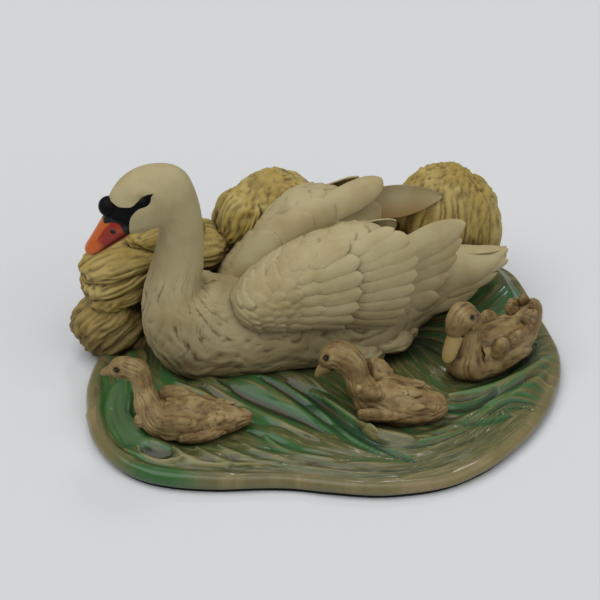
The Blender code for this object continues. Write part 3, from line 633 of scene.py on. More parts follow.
def makeBill():
    table = smoothThrough(billShape["stations"], billShape["rows"], 2)
    angle = np.arange(billShape["columns"]) / billShape["columns"] * 2 * math.pi
    c, s = np.cos(angle)[None, :], np.sin(angle)[None, :]
    lean = math.radians(billShape["lean"])
    # flat-sided section with a rounded ridge, wider low down towards the tip
    along = np.linspace(0, 1, len(table))[:, None]
    up = powered(c, 0.9)
    side = powered(s, 0.8) * (1 - (0.30 - 0.15 * along) * np.clip(c, 0, 1))
    x = table[:, 0:1] + math.sin(lean) * table[:, 2:3] * up
    z = table[:, 1:2] + math.cos(lean) * table[:, 2:3] * up
    y = swanMiddle - table[:, 3:4] * side
    points = stack3(x, y, z)
    gape = np.exp(-(((up + 0.42) / 0.07) ** 2)) * step(0.02, 0.2, along)
    points = points - outward(points) * (0.28 * gape)[..., None]
    nostril = np.full(x.shape, -3.0)
    for face in (-1, 1):
        gap = np.sqrt(((x + 76.9) / 1.35) ** 2 + ((z - 74.2) / 1.2) ** 2)
        gap = gap + np.where(face * (y - swanMiddle) > 0, 0, 9)
        nostril = np.maximum(nostril, 0.75 - gap)
        points = points - outward(points) * (0.5 * np.exp(-((gap / 0.9) ** 2)))[..., None]
    line = 0.16 - np.abs(up + 0.42) * 1.6
    black = np.maximum(np.maximum(nostril, line), np.where(along < 0.4, maskEdge(points), -3))
    rear = step(0.92, 0.45, along) * step(0.86, 0.62, c)
    return tubeGrid(points, side=rear, black=black)


def ballGrid(middle, sizes, rows=40, columns=48, turn=None, power=1.0):
    # a ball, or below power 1 a squarer one, with its poles on Z before it is turned
    v = np.linspace(0.004, 1 - 0.004, rows)[:, None] * math.pi
    a = np.arange(columns)[None, :] / columns * 2 * math.pi
    ring, height = powered(np.sin(v), power), powered(np.cos(v), power)
    p = stack3(ring * powered(np.cos(a), power), ring * powered(np.sin(a), power), height)
    p = p * np.array(sizes)
    if turn is not None:
        p = p @ np.array(turn).T
    return p + np.array(middle)


def turned(about, degrees):
    return np.array(Matrix.Rotation(math.radians(degrees), 3, about))


def makeKnob():
    return [tubeGrid(ballGrid((-77.0, swanMiddle, 82.0), (3.7, 4.0, 3.8), 44, 52))]


def makeEyes():
    grids = []
    for side in (-1, 1):
        middle = (-65.6, swanMiddle + side * 8.2, 87.2)
        turn = turned("Y", -28) @ turned("Z", side * -14)
        grids.append(tubeGrid(ballGrid(middle, (1.75, 0.8, 1.05), 24, 28, turn)))
    return grids


# Wings

wingShape = {
    # x, lowest z, highest z, nearest and furthest distance from the middle plane
    "near": [
        (-34.6, 36, 41, 9, 17), (-33.6, 33.4, 43.6, 6.5, 19.5), (-31.6, 31.4, 46.6, 4.2, 22.2),
        (-28.4, 29.6, 50.2, 2.8, 25), (-24, 28.8, 54, 2.2, 27), (-18, 28, 58.6, 2, 28.2),
        (-12, 27.7, 62.2, 2, 29), (-5, 27.3, 65.2, 2, 29.6), (2, 26.4, 66.6, 2, 29.8),
        (8, 25.2, 67.8, 2.2, 29.6), (14, 23.6, 68.2, 2.8, 29), (19, 22.2, 67.4, 3.6, 28.2),
        (24, 21.6, 64.4, 5.2, 26.6), (27.5, 23, 60, 7.2, 24.8), (30, 27, 53, 9.5, 22.5),
        (31.4, 32, 46, 12.5, 19.5),
    ],
    "far": [
        (-35, 29, 32, 9, 16), (-33.6, 28, 35, 6.5, 18.5), (-31.4, 27.6, 38.4, 4.4, 21),
        (-27.6, 27.6, 42.6, 2.8, 24), (-22.6, 27.8, 47.8, 2.2, 26.6), (-17.6, 27.8, 52.6, 2, 28),
        (-12, 27.6, 58, 2, 29), (-5, 27.3, 64.6, 2.2, 29.6), (2, 26.4, 66.6, 2.8, 29.8),
        (8, 25.2, 66.8, 3.8, 29.6), (14, 24, 65, 5, 29), (19, 23.6, 62.6, 6, 28.2),
        (24, 25, 61.4, 7.2, 26.6), (28.5, 29, 59.6, 9, 24.8), (31.6, 36, 56.4, 11, 22.5),
        (33, 44, 52, 13, 19.5),
    ],
    "rows": {-1: 156, 1: 104}, "columns": 210, "squareness": 2.3, "scales": 1.2,
}
# the fan of long feathers goes on past the wing's end at its full height
fanEnd = [[20.0, 21.6, 68.6, 3.6, 28.0], [38.0, 18.0, 70.6, 6.0, 26.5]]


def unrolled(stations):
    # the wing's skin laid flat: distance out from the wing's middle and height at even steps of the way
    # round from the lower outer edge over the ridge; the steps equal z half way up the outer face
    table = smoothThrough(stations, 400, 1)
    table = np.vstack([table[table[:, 0] < 12.0], fanEnd])
    xs, ws = np.arange(-36.0, 38.1, 0.4), np.arange(-10.0, 130.0, 0.5)
    low, high, near, far = [np.interp(xs, table[:, 0], table[:, k]) for k in (1, 2, 3, 4)]
    angle = np.radians(np.linspace(-89, 269, 359))
    power = 2 / wingShape["squareness"]
    outs, heights = [], []
    for a, b, c, d in zip(low, high, near, far):
        out = powered(np.cos(angle), power) * (d - c) / 2
        z = (a + b) / 2 + powered(np.sin(angle), power) * (b - a) / 2
        way = np.concatenate([[0], np.cumsum(np.hypot(np.diff(out), np.diff(z)))])
        way += (a + b) / 2 - way[89]
        outs.append(np.interp(ws, way, out))
        heights.append(np.interp(ws, way, z))
    return {"xs": xs, "ws": ws, "out": np.array(outs), "height": np.array(heights),
            "middle": (near + far) / 2, "centre": (low + high) / 2}


skins = {-1: unrolled(wingShape["near"]), 1: unrolled(wingShape["far"])}


def wingSkin(side, x, way, inner=False):
    # the point of the wing's outer or inner face at this x and way up it, and the unit normal there
    skin = skins[side]

    def surface(xs, ways):
        out = sampled(skin["xs"], skin["ws"], skin["out"], xs, ways) * (-1 if inner else 1)
        z = sampled(skin["xs"], skin["ws"], skin["height"], xs, ways)
        middle = np.interp(xs, skin["xs"], skin["middle"])
        return stack3(xs, swanMiddle + side * (middle + out), z), middle
    p, middle = surface(x, way)
    alongX = surface(x + 0.6, way)[0] - surface(x - 0.6, way)[0]
    n = np.cross(alongX, surface(x, way + 0.8)[0] - surface(x, way - 0.8)[0])
    n /= np.linalg.norm(n, axis=-1, keepdims=True) + 1e-9
    centre = stack3(x, swanMiddle + side * middle, np.interp(x, skin["xs"], skin["centre"]))
    n *= np.where(np.sum((p - centre) * n, axis=-1, keepdims=True) < 0, -1, 1)
    return p, n


def makeWingCore(side):
    table = smoothThrough(wingShape["near" if side < 0 else "far"], wingShape["rows"][side], 3)
    x, low, high, near, far = (table[:, k:k + 1] for k in range(5))
    angle = np.arange(wingShape["columns"])[None, :] / wingShape["columns"] * 2 * math.pi
    power = 2 / wingShape["squareness"]
    c, s = np.cos(angle), np.sin(angle)
    out = (near + far) / 2 + powered(c, power) * (far - near) / 2
    z = (low + high) / 2 + powered(s, power) * (high - low) / 2
    points = stack3(x, swanMiddle + side * out, z)
    normal = outward(points)
    # small coverts fan out from a point in front of the shoulder
    up = z - 26 + 0.35 * (out - 16)
    along = np.hypot(x + 82, up) / 4.6 + 0.35 * rough(points, 7, 2, 31)
    across = np.arctan2(up, x + 82) * 17 + 0.25 * rough(points, 6, 2, 33) + np.where(c > 0, 0, 40)
    scales, tint = plumage(along, across, 400, seed=7 + side, length=1.9, width=0.64, point=0.85, stray=0.22)
    outerFace = step(-0.3, 0.2, c + 0.6 * np.clip(s, 0, 1))
    amount = (0.35 + 0.65 * outerFace) * step(-42, -34, x)
    height = wingShape["scales"] * amount * (scales - 0.6)
    height = height + 0.22 * rough(points, 3.0, 3, 37) + 0.45 * rough(points, 11, 2, 39)
    points = points + normal * height[..., None]
    return tubeGrid(points, hollow=hollows(height, 3, 0.80) + 0.10 * (tint - 0.5), mask=-5.0, gold=0.0)


def featherSheet(place, length, width, seed, rows, columns, look):
    # a flat closed feather: place(b, a) gives its lying surface and normal for b along and a across in mm
    lift, thick, roll, cup, shaft, barbs, tip, sharp, shade = look
    b = (0.5 - 0.5 * np.cos(np.linspace(0.02, 1, rows) * math.pi))[:, None] ** 0.9
    a = np.sin(np.linspace(-1, 1, columns) * math.pi / 2)[None, :]
    t = np.clip((b - 1 + tip) / tip, 0, 1)
    tipShape = np.clip(1 - t ** (2.5 - 1.1 * sharp), 0.0, 1) ** (0.5 + 0.35 * sharp)
    wide = width / 2 * tipShape * (0.6 + 0.4 * step(0, 0.5, b))
    wander = 0.03 * np.sin(7 * b + seed) * width
    p, n = place(b * length, a * wide + wander)
    quill = np.exp(-((a * wide / 0.5) ** 2)) * shaft * step(1.0, 0.75, b)
    comb = (np.abs(a) * wide * 0.9 + b * length) * 2 * math.pi / 1.4
    comb = np.cos(comb + 2.5 * np.sin(seed + 8 * b))
    edge = 1 - np.abs(a) ** 4
    uneven = 0.22 * rough(p, 4.5, 2, int(seed * 7))
    # the root lies sunk in the skin, the tip is lifted, and the upper edge dips under the next feather
    base = lift * b**1.3 - 1.0 * step(0.34, 0.0, b) - roll * a - cup * a**2
    rise = base + thick * (0.4 + 0.6 * edge) + quill + (barbs * comb + uneven) * edge * step(1.0, 0.85, b)
    top = p + n * rise[..., None]
    bottom = p + n * (base - 0.35)[..., None]
    ring = np.concatenate([top, bottom[:, ::-1]], axis=1)
    # darker along the overlapped edges, in the barb grooves, at the sunk root and a little on the underside:
    # brown wash and painted shade; the shade value adds more towards the root
    tone = 0.30 * np.abs(a) ** 3 * step(1.0, 0.4, b) - 0.9 * barbs * comb * edge
    tone = tone + 0.30 * step(0.45, 0.1, b) + shade * (1 - b)
    hollow = np.concatenate([tone, 0.12 + 0 * tone], axis=1)
    return tubeGrid(ring, hollow=hollow, mask=-5.0, gold=0.0)


def onWing(side, root, tip, inner=False, bend=0.0):
    root, tip = np.array(root, float), np.array(tip, float)
    along = (tip - root) / np.linalg.norm(tip - root)
    cross = np.array([-along[1], along[0]])
    length = np.linalg.norm(tip - root)

    def place(b, a):
        sag = bend * np.sin(np.clip(b / length, 0, 1) * math.pi)
        x = root[0] + along[0] * b + cross[0] * (a + sag)
        z = root[1] + along[1] * b + cross[1] * (a + sag)
        return wingSkin(side, x, z, inner)
    return place, length


wingFeathers = {
    # root x, way up, tip x, way up, width, bend, as seen from the side
    "secondaries": [
        (6, 59.6, 30.6, 66, 8.2, 0.5), (6, 56.8, 33, 61.6, 8.4, 0.5), (6, 53.5, 33.8, 56.8, 8.4, 0.3),
        (6, 49.5, 33.4, 51, 8.2, 0.1), (6, 45.8, 32.4, 45.2, 8, -0.2), (6, 42.2, 31, 39.8, 7.6, -0.4),
        (6, 38.8, 29, 34.4, 7.2, -0.6), (4, 35.8, 26.6, 29.4, 6.8, -0.7), (1, 33.6, 23.6, 25.2, 6.4, -0.7),
    ],
    "tertials": [(2, 61.4, 26.0, 69.4, 6.8, 0.4)],
    "greaterCoverts": [
        (-13, 59, 8, 67.6, 7.4, 0.4), (-11, 55.4, 10.4, 61.6, 8, 0.4), (-10, 50.8, 11.2, 55.4, 8.2, 0.3),
        (-9, 46.2, 10.8, 48.8, 8, 0.1), (-9, 42.2, 9.8, 42.4, 7.6, 0), (-10, 38.6, 8, 36.8, 7, -0.2),
        (-12, 35.4, 5.2, 32.2, 6.4, -0.3),
    ],
    "middleCoverts": [
        (-17, 58.6, -4.2, 65, 6, 0.2), (-15.4, 54.6, -2.4, 59.4, 6.2, 0.2),
        (-14.4, 50.4, -1.6, 53.8, 6.4, 0.1), (-14, 46.2, -1.6, 48.4, 6.4, 0),
        (-14.4, 42.2, -2.6, 43, 6.2, 0), (-15.6, 38.4, -4.6, 37.8, 6, -0.1),
        (-17.4, 35.2, -7.4, 33.4, 5.6, -0.1),
    ],
    "ridge": [(-18, 57.6, -1.0, 69.0, 6.6, 0.4), (-8, 62.6, 11.6, 71.6, 6.6, 0.4)],
    "innerFeathers": [
        (-3, 56, 31.4, 71, 12, 1), (-15, 50, 10.4, 64.6, 15, 1), (-27, 43, 1.6, 61.6, 15, 0.8),
        (-31, 38, -12, 56, 12, 0.6),
    ],
}
featherLooks = {
    # lift of the tip, thickness, roll, cup, shaft, barbs, share of the length in the tip, sharpness, shade
    "secondaries": (0.9, 0.6, 0.35, 0.25, 0.10, 0.05, 0.26, 0.1, 0.0),
    "tertials": (0.5, 0.6, 0.05, 0.3, 0.10, 0.05, 0.30, 0.2, 0.0),
    "greaterCoverts": (1.5, 0.6, 0.30, 0.4, 0.12, 0.06, 0.32, 0.1, 0.0),
    "middleCoverts": (0.7, 0.35, 0.20, 0.6, 0.0, 0.04, 0.38, 0.1, -0.1),
    "ridge": (0.4, 0.4, 0.0, 0.4, 0.0, 0.04, 0.34, 0.1, -0.1),
    "innerFeathers": (0.9, 0.6, 0.0, 0.5, 0.0, 0.0, 0.30, 0.1, -0.2),
    "primaries": (0.5, 0.6, 0.35, 0.3, 0.12, 0.03, 0.36, 0.35, 0.1),
    "farPrimaries": (0.4, 0.7, 0.0, 0.5, 0.10, 0.03, 0.48, 0.75, 0.7),
    "tail": (0.3, 0.5, 0.2, 0.4, 0.08, 0.03, 0.36, 0.4, 0.0),
}


def makeWing(side):
    grids = [makeWingCore(side)]
    seed = 3.0 + side
    for row, feathers in wingFeathers.items():
        if row == "ridge" and side > 0:
            continue
        inner = row == "innerFeathers"
        # the rows that face away from the camera are plainer and stay below the ridge
        seen = (side < 0) != inner
        low = (9.0 if side < 0 else 0.0) if inner else (0.0 if side < 0 else 5.0)
        for k, (x0, z0, x1, z1, width, bend) in enumerate(feathers):
            seed += 1.7
            place, length = onWing(side, (x0, z0 - low), (x1, z1 - low), inner, bend)
            rows = int(min(48, length * 1.4)) if seen else 24
            lift, *rest = featherLooks[row]
            look = (lift + 0.35 * k if inner else lift, *rest)
            grids.append(featherSheet(place, length, width, seed, rows, 17 if seen else 9, look))
    return grids


# Wing tips and tail

tipFeathers = {
    # sides; then root x, distance from the middle, z; tip x, distance, z; width; facing up; bend
    "primaries": ((-1,), [
        (14, 17, 46, 57.6, 11, 60, 12, 0.35, -0.9), (14, 18, 43, 56.2, 12, 53.2, 13, 0.28, -0.3),
        (14, 19, 39, 54.4, 13, 46.4, 13, 0.2, 0.3), (14, 20, 33, 51, 14.5, 38.8, 12.5, 0.1, 0),
        (14, 21, 28, 46.6, 16.5, 31.2, 11.5, 0, -0.2),
    ]),
    "farPrimaries": ((1,), [
        (16, 15, 57, 58, 15, 55.6, 13, -0.4, 0.9), (14, 17, 50, 47, 17.5, 49.4, 11, -0.4, 0.3),
        (14, 18, 43, 40, 18, 43, 11, -0.4, 0),
    ]),
    "tail": ((-1, 1), [
        (46, 2.6, 39.4, 80.8, 0.9, 36.4, 9, 3, 0), (46, 10, 35.6, 79.8, 3.6, 33.6, 8, 0.7, 0.1),
        (44, 14.2, 29, 74.6, 5.4, 30.2, 7.6, 0.35, -0.1), (40, 16.4, 23, 66, 8, 26, 7.6, 0.15, -0.2),
    ]),
}


def freePlace(start, end, facing, bend):
    # lays a feather along a free line from start to end with its flat side to facing
    start, end = np.array(start, float), np.array(end, float)
    length = np.linalg.norm(end - start)
    along = (end - start) / length
    n = np.array(facing, float)
    n -= along * n.dot(along)
    n /= np.linalg.norm(n)
    cross = np.cross(n, along)

    def place(b, a):
        sag = bend * np.sin(np.clip(b / length, 0, 1) * math.pi)
        p = start + along * b[..., None] + cross * (a + sag)[..., None] - n * (0.02 * a**2)[..., None]
        return p, np.broadcast_to(n, p.shape)
    return place, length


def makeTips():
    grids = []
    seed = 40.0
    for row, (sides, feathers) in tipFeathers.items():
        for side in sides:
            for x0, y0, z0, x1, y1, z1, width, tilt, bend in feathers:
                seed += 1.3
                start, end = (x0, swanMiddle + side * y0, z0), (x1, swanMiddle + side * y1, z1)
                place, length = freePlace(start, end, (0.05, side, tilt), bend * -side)
                grid = featherSheet(place, length, width, seed, 48, 17, featherLooks[row])
                if row == "farPrimaries":
                    # the lower half gets a gold-brown painted shade
                    grid["values"]["gold"] = 0.95 * step(59, 50, grid["points"][..., 2])
                grids.append(grid)
    return grids


# Rocks

rockShape = {
    # middle, half sizes, tilt about Y, roundness, grain direction, ridge width, relief, rows, columns, seed
    "leftTop": ((-52, 50, 50.2), (16.2, 10, 5.4), -3, 0.84, (1, 0.1, 0.06), 1.7, 0.9, 60, 90, 11),
    "leftSlabA": ((-70.0, 46.5, 42.0), (17.0, 11.5, 5.2), -8, 0.84, (1, 0.1, 0.25), 2.0, 1.2, 60, 90, 12),
    "leftSlabB": ((-70, 46, 37.0), (17.5, 12.5, 4.6), -17, 0.84, (1, 0.1, 0.3), 2.0, 1.2, 60, 90, 13),
    "leftSlabC": ((-68.5, 45.5, 31.5), (17.5, 12.5, 4.8), -17, 0.84, (1, 0.1, 0.3), 1.8, 1.3, 60, 90, 14),
    "leftFoot": ((-75.5, 45, 14.5), (15.5, 13, 13.5), -30, 0.84, (1, 0.2, 0.9), 2.2, 2.0, 90, 100, 2),
    "leftToe": ((-64, 44, 8.5), (12, 12, 8.5), 10, 0.84, (0.6, 0.2, 0.8), 2.4, 1.6, 40, 60, 15),
    "leftLedge": ((-43, 51, 41), (17, 12, 9.5), 4, 0.84, (1, 0, -0.1), 2.2, 1.4, 60, 80, 3),
    "leftHeart": ((-52, 49, 20), (24, 12, 19), 0, 0.84, (1, 0, 0.3), 2.8, 1.6, 50, 60, 4),
    "middleBoulder": (
        (-7.0, 57, 45), (19.5, 12.5, 20.5), -24, 0.84, (0.45, 0.3, -0.8), 2.6, 1.3, 100, 120, 5,
    ),
    "middleLump": ((-21.5, 54, 48), (9.5, 11, 13), 14, 0.84, (0.5, 0.3, 0.8), 1.8, 1.8, 60, 80, 16),
    "middleFoot": ((-14, 56, 18), (26, 12, 18), 0, 0.84, (1, 0, 0.2), 2.8, 1.5, 40, 60, 6),
    "rightBoulder": ((64.5, 49, 31.5), (22.8, 16, 32.0), -13, 0.97, (0.22, 0.05, 1), 1.9, 1.5, 130, 150, 7),
    "rightFoot": ((42, 54, 20), (23, 12, 20), 0, 0.84, (0.3, 0, 1), 2.4, 1.5, 40, 60, 8),
}


def makeRocks():
    grids = []
    for middle, sizes, tilt, power, flow, width, depth, rows, columns, seed in rockShape.values():
        p = ballGrid((0, 0, 0), (sizes[0], sizes[2], sizes[1]), rows, columns, turned("X", 90), power)
        p = p @ turned("Y", tilt).T + np.array(middle)
        n = outward(p)
        flow = np.array(flow, float) / np.linalg.norm(flow)
        side = np.cross(flow, (0, 1, 0))
        side /= np.linalg.norm(side)
        third = np.cross(flow, side)
        # rounded ridges run with the grain and sharp creases lie between them: the noise is stretched
        # along the grain and bent a little, and its size, without its sign, is the height
        q = p + 2.2 * stack3(lumps(p, 15, seed), lumps(p, 15, seed + 1), lumps(p, 15, seed + 2))
        q = q + 0.45 * stack3(lumps(p, 5, seed + 3), lumps(p, 5, seed + 4), lumps(p, 5, seed + 5))
        f = stack3((q @ flow) / 26.0, q @ side, (q @ third) / 1.2)
        ridges = lumps(f, width * 2.0, seed + 20)
        fibres = 1.4 * np.abs(lumps(f, width, seed + 40)) ** 0.8 - 0.6
        hairs = lumps(f, width * 0.42, seed + 50)
        relief = depth * (0.42 * ridges + 0.48 * fibres + 0.42 * hairs)
        height = relief + 0.11 * min(sizes) * rough(p, 17, 2, seed + 80)
        # the left and lower faces are rougher, and browner by painted shade
        pittedAndShaded = step(0.15, 0.8, -n[..., 0] * 0.8 - n[..., 2] * 0.5)
        pits = step(0.10, 0.6, rough(p, 4.6, 2, seed + 90)) * pittedAndShaded
        height = height - 0.6 * depth * pits + 0.14 * rough(q, 2.0, 2, seed + 60)
        p = p + n * height[..., None]
        p[..., 2] = np.maximum(p[..., 2], 2.6)
        # darker in the relief's hollows and pits, with painted shade on the left and lower faces
        grids.append(tubeGrid(p, hollow=hollows(relief, 4, 0.8 * depth) + 0.5 * pits + 0.25 * pittedAndShaded))
    return grids


# Water base

baseShape = {
    "outline": [
        (-94.4, 2), (-94.2, -11.6), (-90.4, -25.3), (-83.4, -36.6), (-72, -44.4), (-56.4, -50.3),
        (-42, -53.4), (-29.4, -57.1), (-15.7, -63), (-1, -68.6), (15, -71.2), (28, -70.6), (42.7, -66),
        (56.4, -57.8), (68.6, -48), (81.4, -33.6), (90, -18.5), (94.2, -5), (94.9, 8), (95, 20),
        (94.8, 32), (91.4, 43), (81, 54), (62, 63.8), (35, 69.2), (5, 70.6), (-25, 69), (-50, 62),
        (-70, 50.5), (-83, 37), (-91, 19),
    ],
    "level": 8.2, "middle": (2, 8), "rows": 158, "columns": 580, "underside": 1.3,
}
# lines that the carved water follows, from the front rim to the back
flowGuides = [
    [(-86, 16), (-91, 0), (-91, -18), (-85, -32), (-73, -42), (-57, -49), (-37, -54), (-17, -62),
     (4, -68), (24, -67), (45, -61), (64, -49)],
    [(-81, 16), (-86, -2), (-85, -18), (-78, -29), (-66, -38), (-51, -45), (-33, -49), (-15, -57),
     (6, -64), (26, -63), (45, -57), (62, -46)],
    [(-74, 16), (-77, 0), (-74, -16), (-66, -28), (-55, -36), (-41, -43), (-25, -50), (-9, -57), (8, -62),
     (26, -61), (45, -54), (62, -43)],
    [(-66, 16), (-63, 2), (-55, -10), (-42, -23), (-32, -36), (-21, -47), (-7, -56), (8, -60), (25, -59),
     (44, -52), (61, -41)],
    [(-52, 14), (-40, 1), (-29, -12), (-17, -26), (-8, -40), (1, -51), (12, -58), (27, -57), (44, -50),
     (61, -39)],
    [(-33, 8), (-20, 1), (-12, -10), (-4, -27), (1, -42), (9, -52), (19, -56), (31, -54), (46, -48),
     (62, -37)],
    [(-10, 2), (-3, -12), (3, -27), (10, -41), (19, -49), (30, -50), (45, -45), (62, -35)],
    [(12, 0), (15, -14), (20, -29), (27, -39), (36, -43), (49, -41), (64, -33), (76, -24)],
    [(26, 2), (28, -12), (31, -24), (37, -32), (46, -35), (60, -31), (74, -23), (84, -15)],
    [(36, 4), (38, -8), (42, -18), (50, -25), (61, -24), (73, -18), (84, -10), (92, -3)],
    [(42, 8), (46, -2), (53, -9), (63, -10), (75, -6), (85, 0), (92, 6)],
    [(44, 14), (52, 8), (62, 5), (73, 8), (83, 13), (92, 19)],
    [(40, 21), (52, 19), (64, 20), (76, 25), (88, 33)],
    [(30, 27), (46, 31), (60, 36), (74, 44), (84, 52)],
    [(-60, 50), (-30, 56), (0, 60), (30, 60), (60, 58)],
]


def flowField():
    # lane number and distance along the lane for every cell of a coarse map, weighted by nearness to
    # the guides
    lanes, runs, spots = [], [], []
    guides = [smoothThrough(g, 40, 2) for g in flowGuides]
    for k in range(len(guides) - 1):
        for share in np.linspace(0, 1, 5, endpoint=False):
            curve = guides[k] * (1 - share) + guides[k + 1] * share
            spots.append(curve)
            lanes.append(np.full(40, k + share))
            runs.append(distanceAlong(curve))
    spots, lanes, runs = np.vstack(spots), np.concatenate(lanes), np.concatenate(runs)
    xs, ys = np.arange(-100, 101, 2.0), np.arange(-76, 77, 2.0)
    gx, gy = np.meshgrid(xs, ys, indexing="ij")
    gap = (gx[..., None] - spots[:, 0]) ** 2 + (gy[..., None] - spots[:, 1]) ** 2
    weight = 1 / (gap + 10.0) ** 3
    total = weight.sum(-1)
    return xs, ys, blurred((weight * lanes).sum(-1) / total, 1), blurred((weight * runs).sum(-1) / total, 1)


def spot(x, y, cx, cy, rx, ry, turn=0.0):
    # a soft patch, 1 at its middle
    c, s = math.cos(math.radians(turn)), math.sin(math.radians(turn))
    dx, dy = x - cx, y - cy
    return np.exp(-(((c * dx + s * dy) / rx) ** 2) - ((-s * dx + c * dy) / ry) ** 2)


waterStrokes = {
    # points, half width, height (below 0 is a groove), how green, painted highlight above 0 and painted
    # shadow below 0
    "flankGroove": ([(-43, 4), (-36, -5), (-28, -14), (-17, -26), (-9, -37)], 2.4, -1.9, 0.9, -0.8),
    "flankRidge": ([(-48, 2), (-40, -8), (-32, -18), (-22, -30), (-14, -40)], 1.5, 1.1, -0.3, 0.5),
    "longStroke": ([(-17, -4), (-11, -12), (-4, -27), (1, -41), (8, -51), (16, -60)], 2.3, -1.5, 1.2, -0.2),
    "longGlint": ([(-6, -16), (-2, -24), (3, -34), (7, -43)], 1.1, 1.3, -0.3, 1.0),
    "secondStroke": ([(-27, 0), (-20, -8), (-13, -20), (-8, -31), (-2, -43),
        (6, -53)], 1.9, -1.1, 0.8, -0.2),
    "breastGlint": ([(-59, 6), (-53, 0), (-47, -6)], 1.6, 1.2, 0.0, 0.9),
    "breastCurl": ([(-50, 9), (-44, 4), (-39, -3)], 1.6, 1.2, -0.8, 0.1),
    "tipGreen": ([(40, -44), (50, -46), (60, -44)], 1.9, -0.6, 0.7, 0.4),
    "leafDark": ([(32, -31), (41, -35), (51, -34), (59, -29)], 2.6, -1.4, 1.0, -0.8),
    "crest": ([(94, -6), (86, -14), (75, -21), (62, -26), (50, -28), (40, -28)], 2.6, 2.4, 0.2, 0.7),
    "underCrest": ([(62, -15), (74, -11), (84, -4)], 5.0, -1.6, 0.3, -0.9),
    "frontCrestA": ([(-84, -24), (-76, -32), (-64, -39), (-50, -45)], 1.4, 1.0, -0.2, 0.6),
    "curlHollow": ([(-78, -26), (-73, -31), (-68, -32)], 2.6, -1.8, 0.1, -1.0),
    "curlA": ([(-79, -24), (-77, -31), (-71, -36), (-65, -36)], 1.1, 1.5, -0.6, 0.9),
    "curlB": ([(-67, -30), (-63, -37), (-56, -42), (-49, -44)], 1.4, 1.5, -0.5, 0.9),
    "curlC": ([(-59, -32), (-55, -38), (-48, -44), (-41, -46)], 1.3, 1.2, -0.6, 0.7),
    "curlD": ([(-51, -33), (-46, -39), (-39, -45), (-31, -48)], 1.3, 1.1, -0.3, 0.6),
    "curlE": ([(-42, -34), (-37, -41), (-29, -47), (-21, -51)], 1.3, 1.1, -0.2, 0.6),
    "curlF": ([(-33, -32), (-28, -41), (-20, -48), (-11, -53)], 1.4, 1.1, -0.2, 0.7),
    "frontGreen": ([(-38, -28), (-30, -36), (-22, -43), (-12, -50)], 2.0, -0.8, 0.9, 0.4),
    "leftTrough": ([(-88, 14), (-91, 0), (-89, -16), (-83, -28)], 1.8, -1.3, -0.5, -0.5),
    "leftBand": ([(-80, 14), (-83, 0), (-81, -14), (-76, -24)], 5.4, -0.4, 0.8, 1.1),
    "leftStem": ([(-76, 6), (-79, -6), (-77, -16)], 0.9, 0.9, 0.4, -0.7),
    "backStreakA": ([(60, 27), (72, 33), (84, 42)], 1.5, 0.8, -0.6, -0.2),
    "backStreakB": ([(52, 22), (66, 24), (80, 30)], 1.6, -0.8, 0.6, -0.2),
    "backStreakC": ([(60, 36), (72, 44), (80, 50)], 1.8, -0.6, 0.7, 0.1),
    "rightStroke": ([(48, -36), (62, -34), (76, -26), (86, -18)], 1.6, 0.9, 0.1, 0.6),
    "rimStrokeA": ([(10, -65), (26, -65), (42, -60), (56, -52)], 1.6, 0.8, -0.7, 0.5),
    "rimStrokeB": ([(24, -60), (40, -56), (56, -48), (70, -38)], 1.5, 0.7, -0.6, 0.4),
    "mound": ([(4, -39), (11, -45), (19, -50)], 3.4, 1.8, -1.0, 0.25),
    "underMiddle": ([(2, -34), (8, -42), (17, -47), (27, -48)], 2.2, 1.2, -0.8, 0.3),
}


def strokeFields(x, y):
    # each stroke is a soft ridge or groove that tapers to both its ends, with its green and its painted
    # light: highlight above 0, shadow below 0
    height, green, light = 0 * x, 0 * x, 0 * x
    for points, half, tall, greenness, lightness in waterStrokes.values():
        curve = smoothThrough(points, 30, 2)
        low, high = curve.min(axis=0) - 9, curve.max(axis=0) + 9
        near = (x > low[0]) & (x < high[0]) & (y > low[1]) & (y < high[1])
        px, py = x[near], y[near]
        best = np.full(px.shape, 1e9)
        for k in range(29):
            (x0, y0), (x1, y1) = curve[k], curve[k + 1]
            dx, dy = x1 - x0, y1 - y0
            t = np.clip(((px - x0) * dx + (py - y0) * dy) / (dx**2 + dy**2), 0, 1)
            gap = np.hypot(px - x0 - t * dx, py - y0 - t * dy)
            taper = max(0.25, math.sin((k + 0.5) / 29 * math.pi) ** 0.5)
            best = np.minimum(best, gap / (half * taper))
        core = np.exp(-(best**2) * 0.9)
        height[near] += tall * core
        green[near] += greenness * core
        light[near] += lightness * core
    return height, green, light


def waterHeight(x, y, lane, run):
    # long ridges along the lanes: broad ones, sharp ones between them and fine lines on both
    flow = stack3(lane, run / 44.0, 0 * run)
    broad = 2 * np.abs(lumps(flow, 0.80, 51)) ** 0.8 - 0.8
    sharp = 2 * np.abs(lumps(flow, 0.34, 57)) ** 0.8 - 0.8
    lines = lumps(stack3(lane, run / 60.0, 0 * run), 0.11, 58)
    h = 1.05 * broad + 0.55 * sharp + 0.13 * lines + 0.35 * rough(stack3(x, y, 0 * x), 14, 2, 61)
    swell = 8.0 * spot(x, y, 75, 31, 22, 17, -20) + 2.2 * spot(x, y, 90, 4, 10, 14)
    bow = 1.4 * spot(x, y, -66, 12, 5, 12, 15) + 1.0 * spot(x, y, -56, -2, 9, 5, -30)
    bow = bow + 2.6 * spot(x, y, -34, 1, 24, 7, -8)
    dip = -0.5 * spot(x, y, -76, -6, 8, 14)
    return h, swell + bow + dip


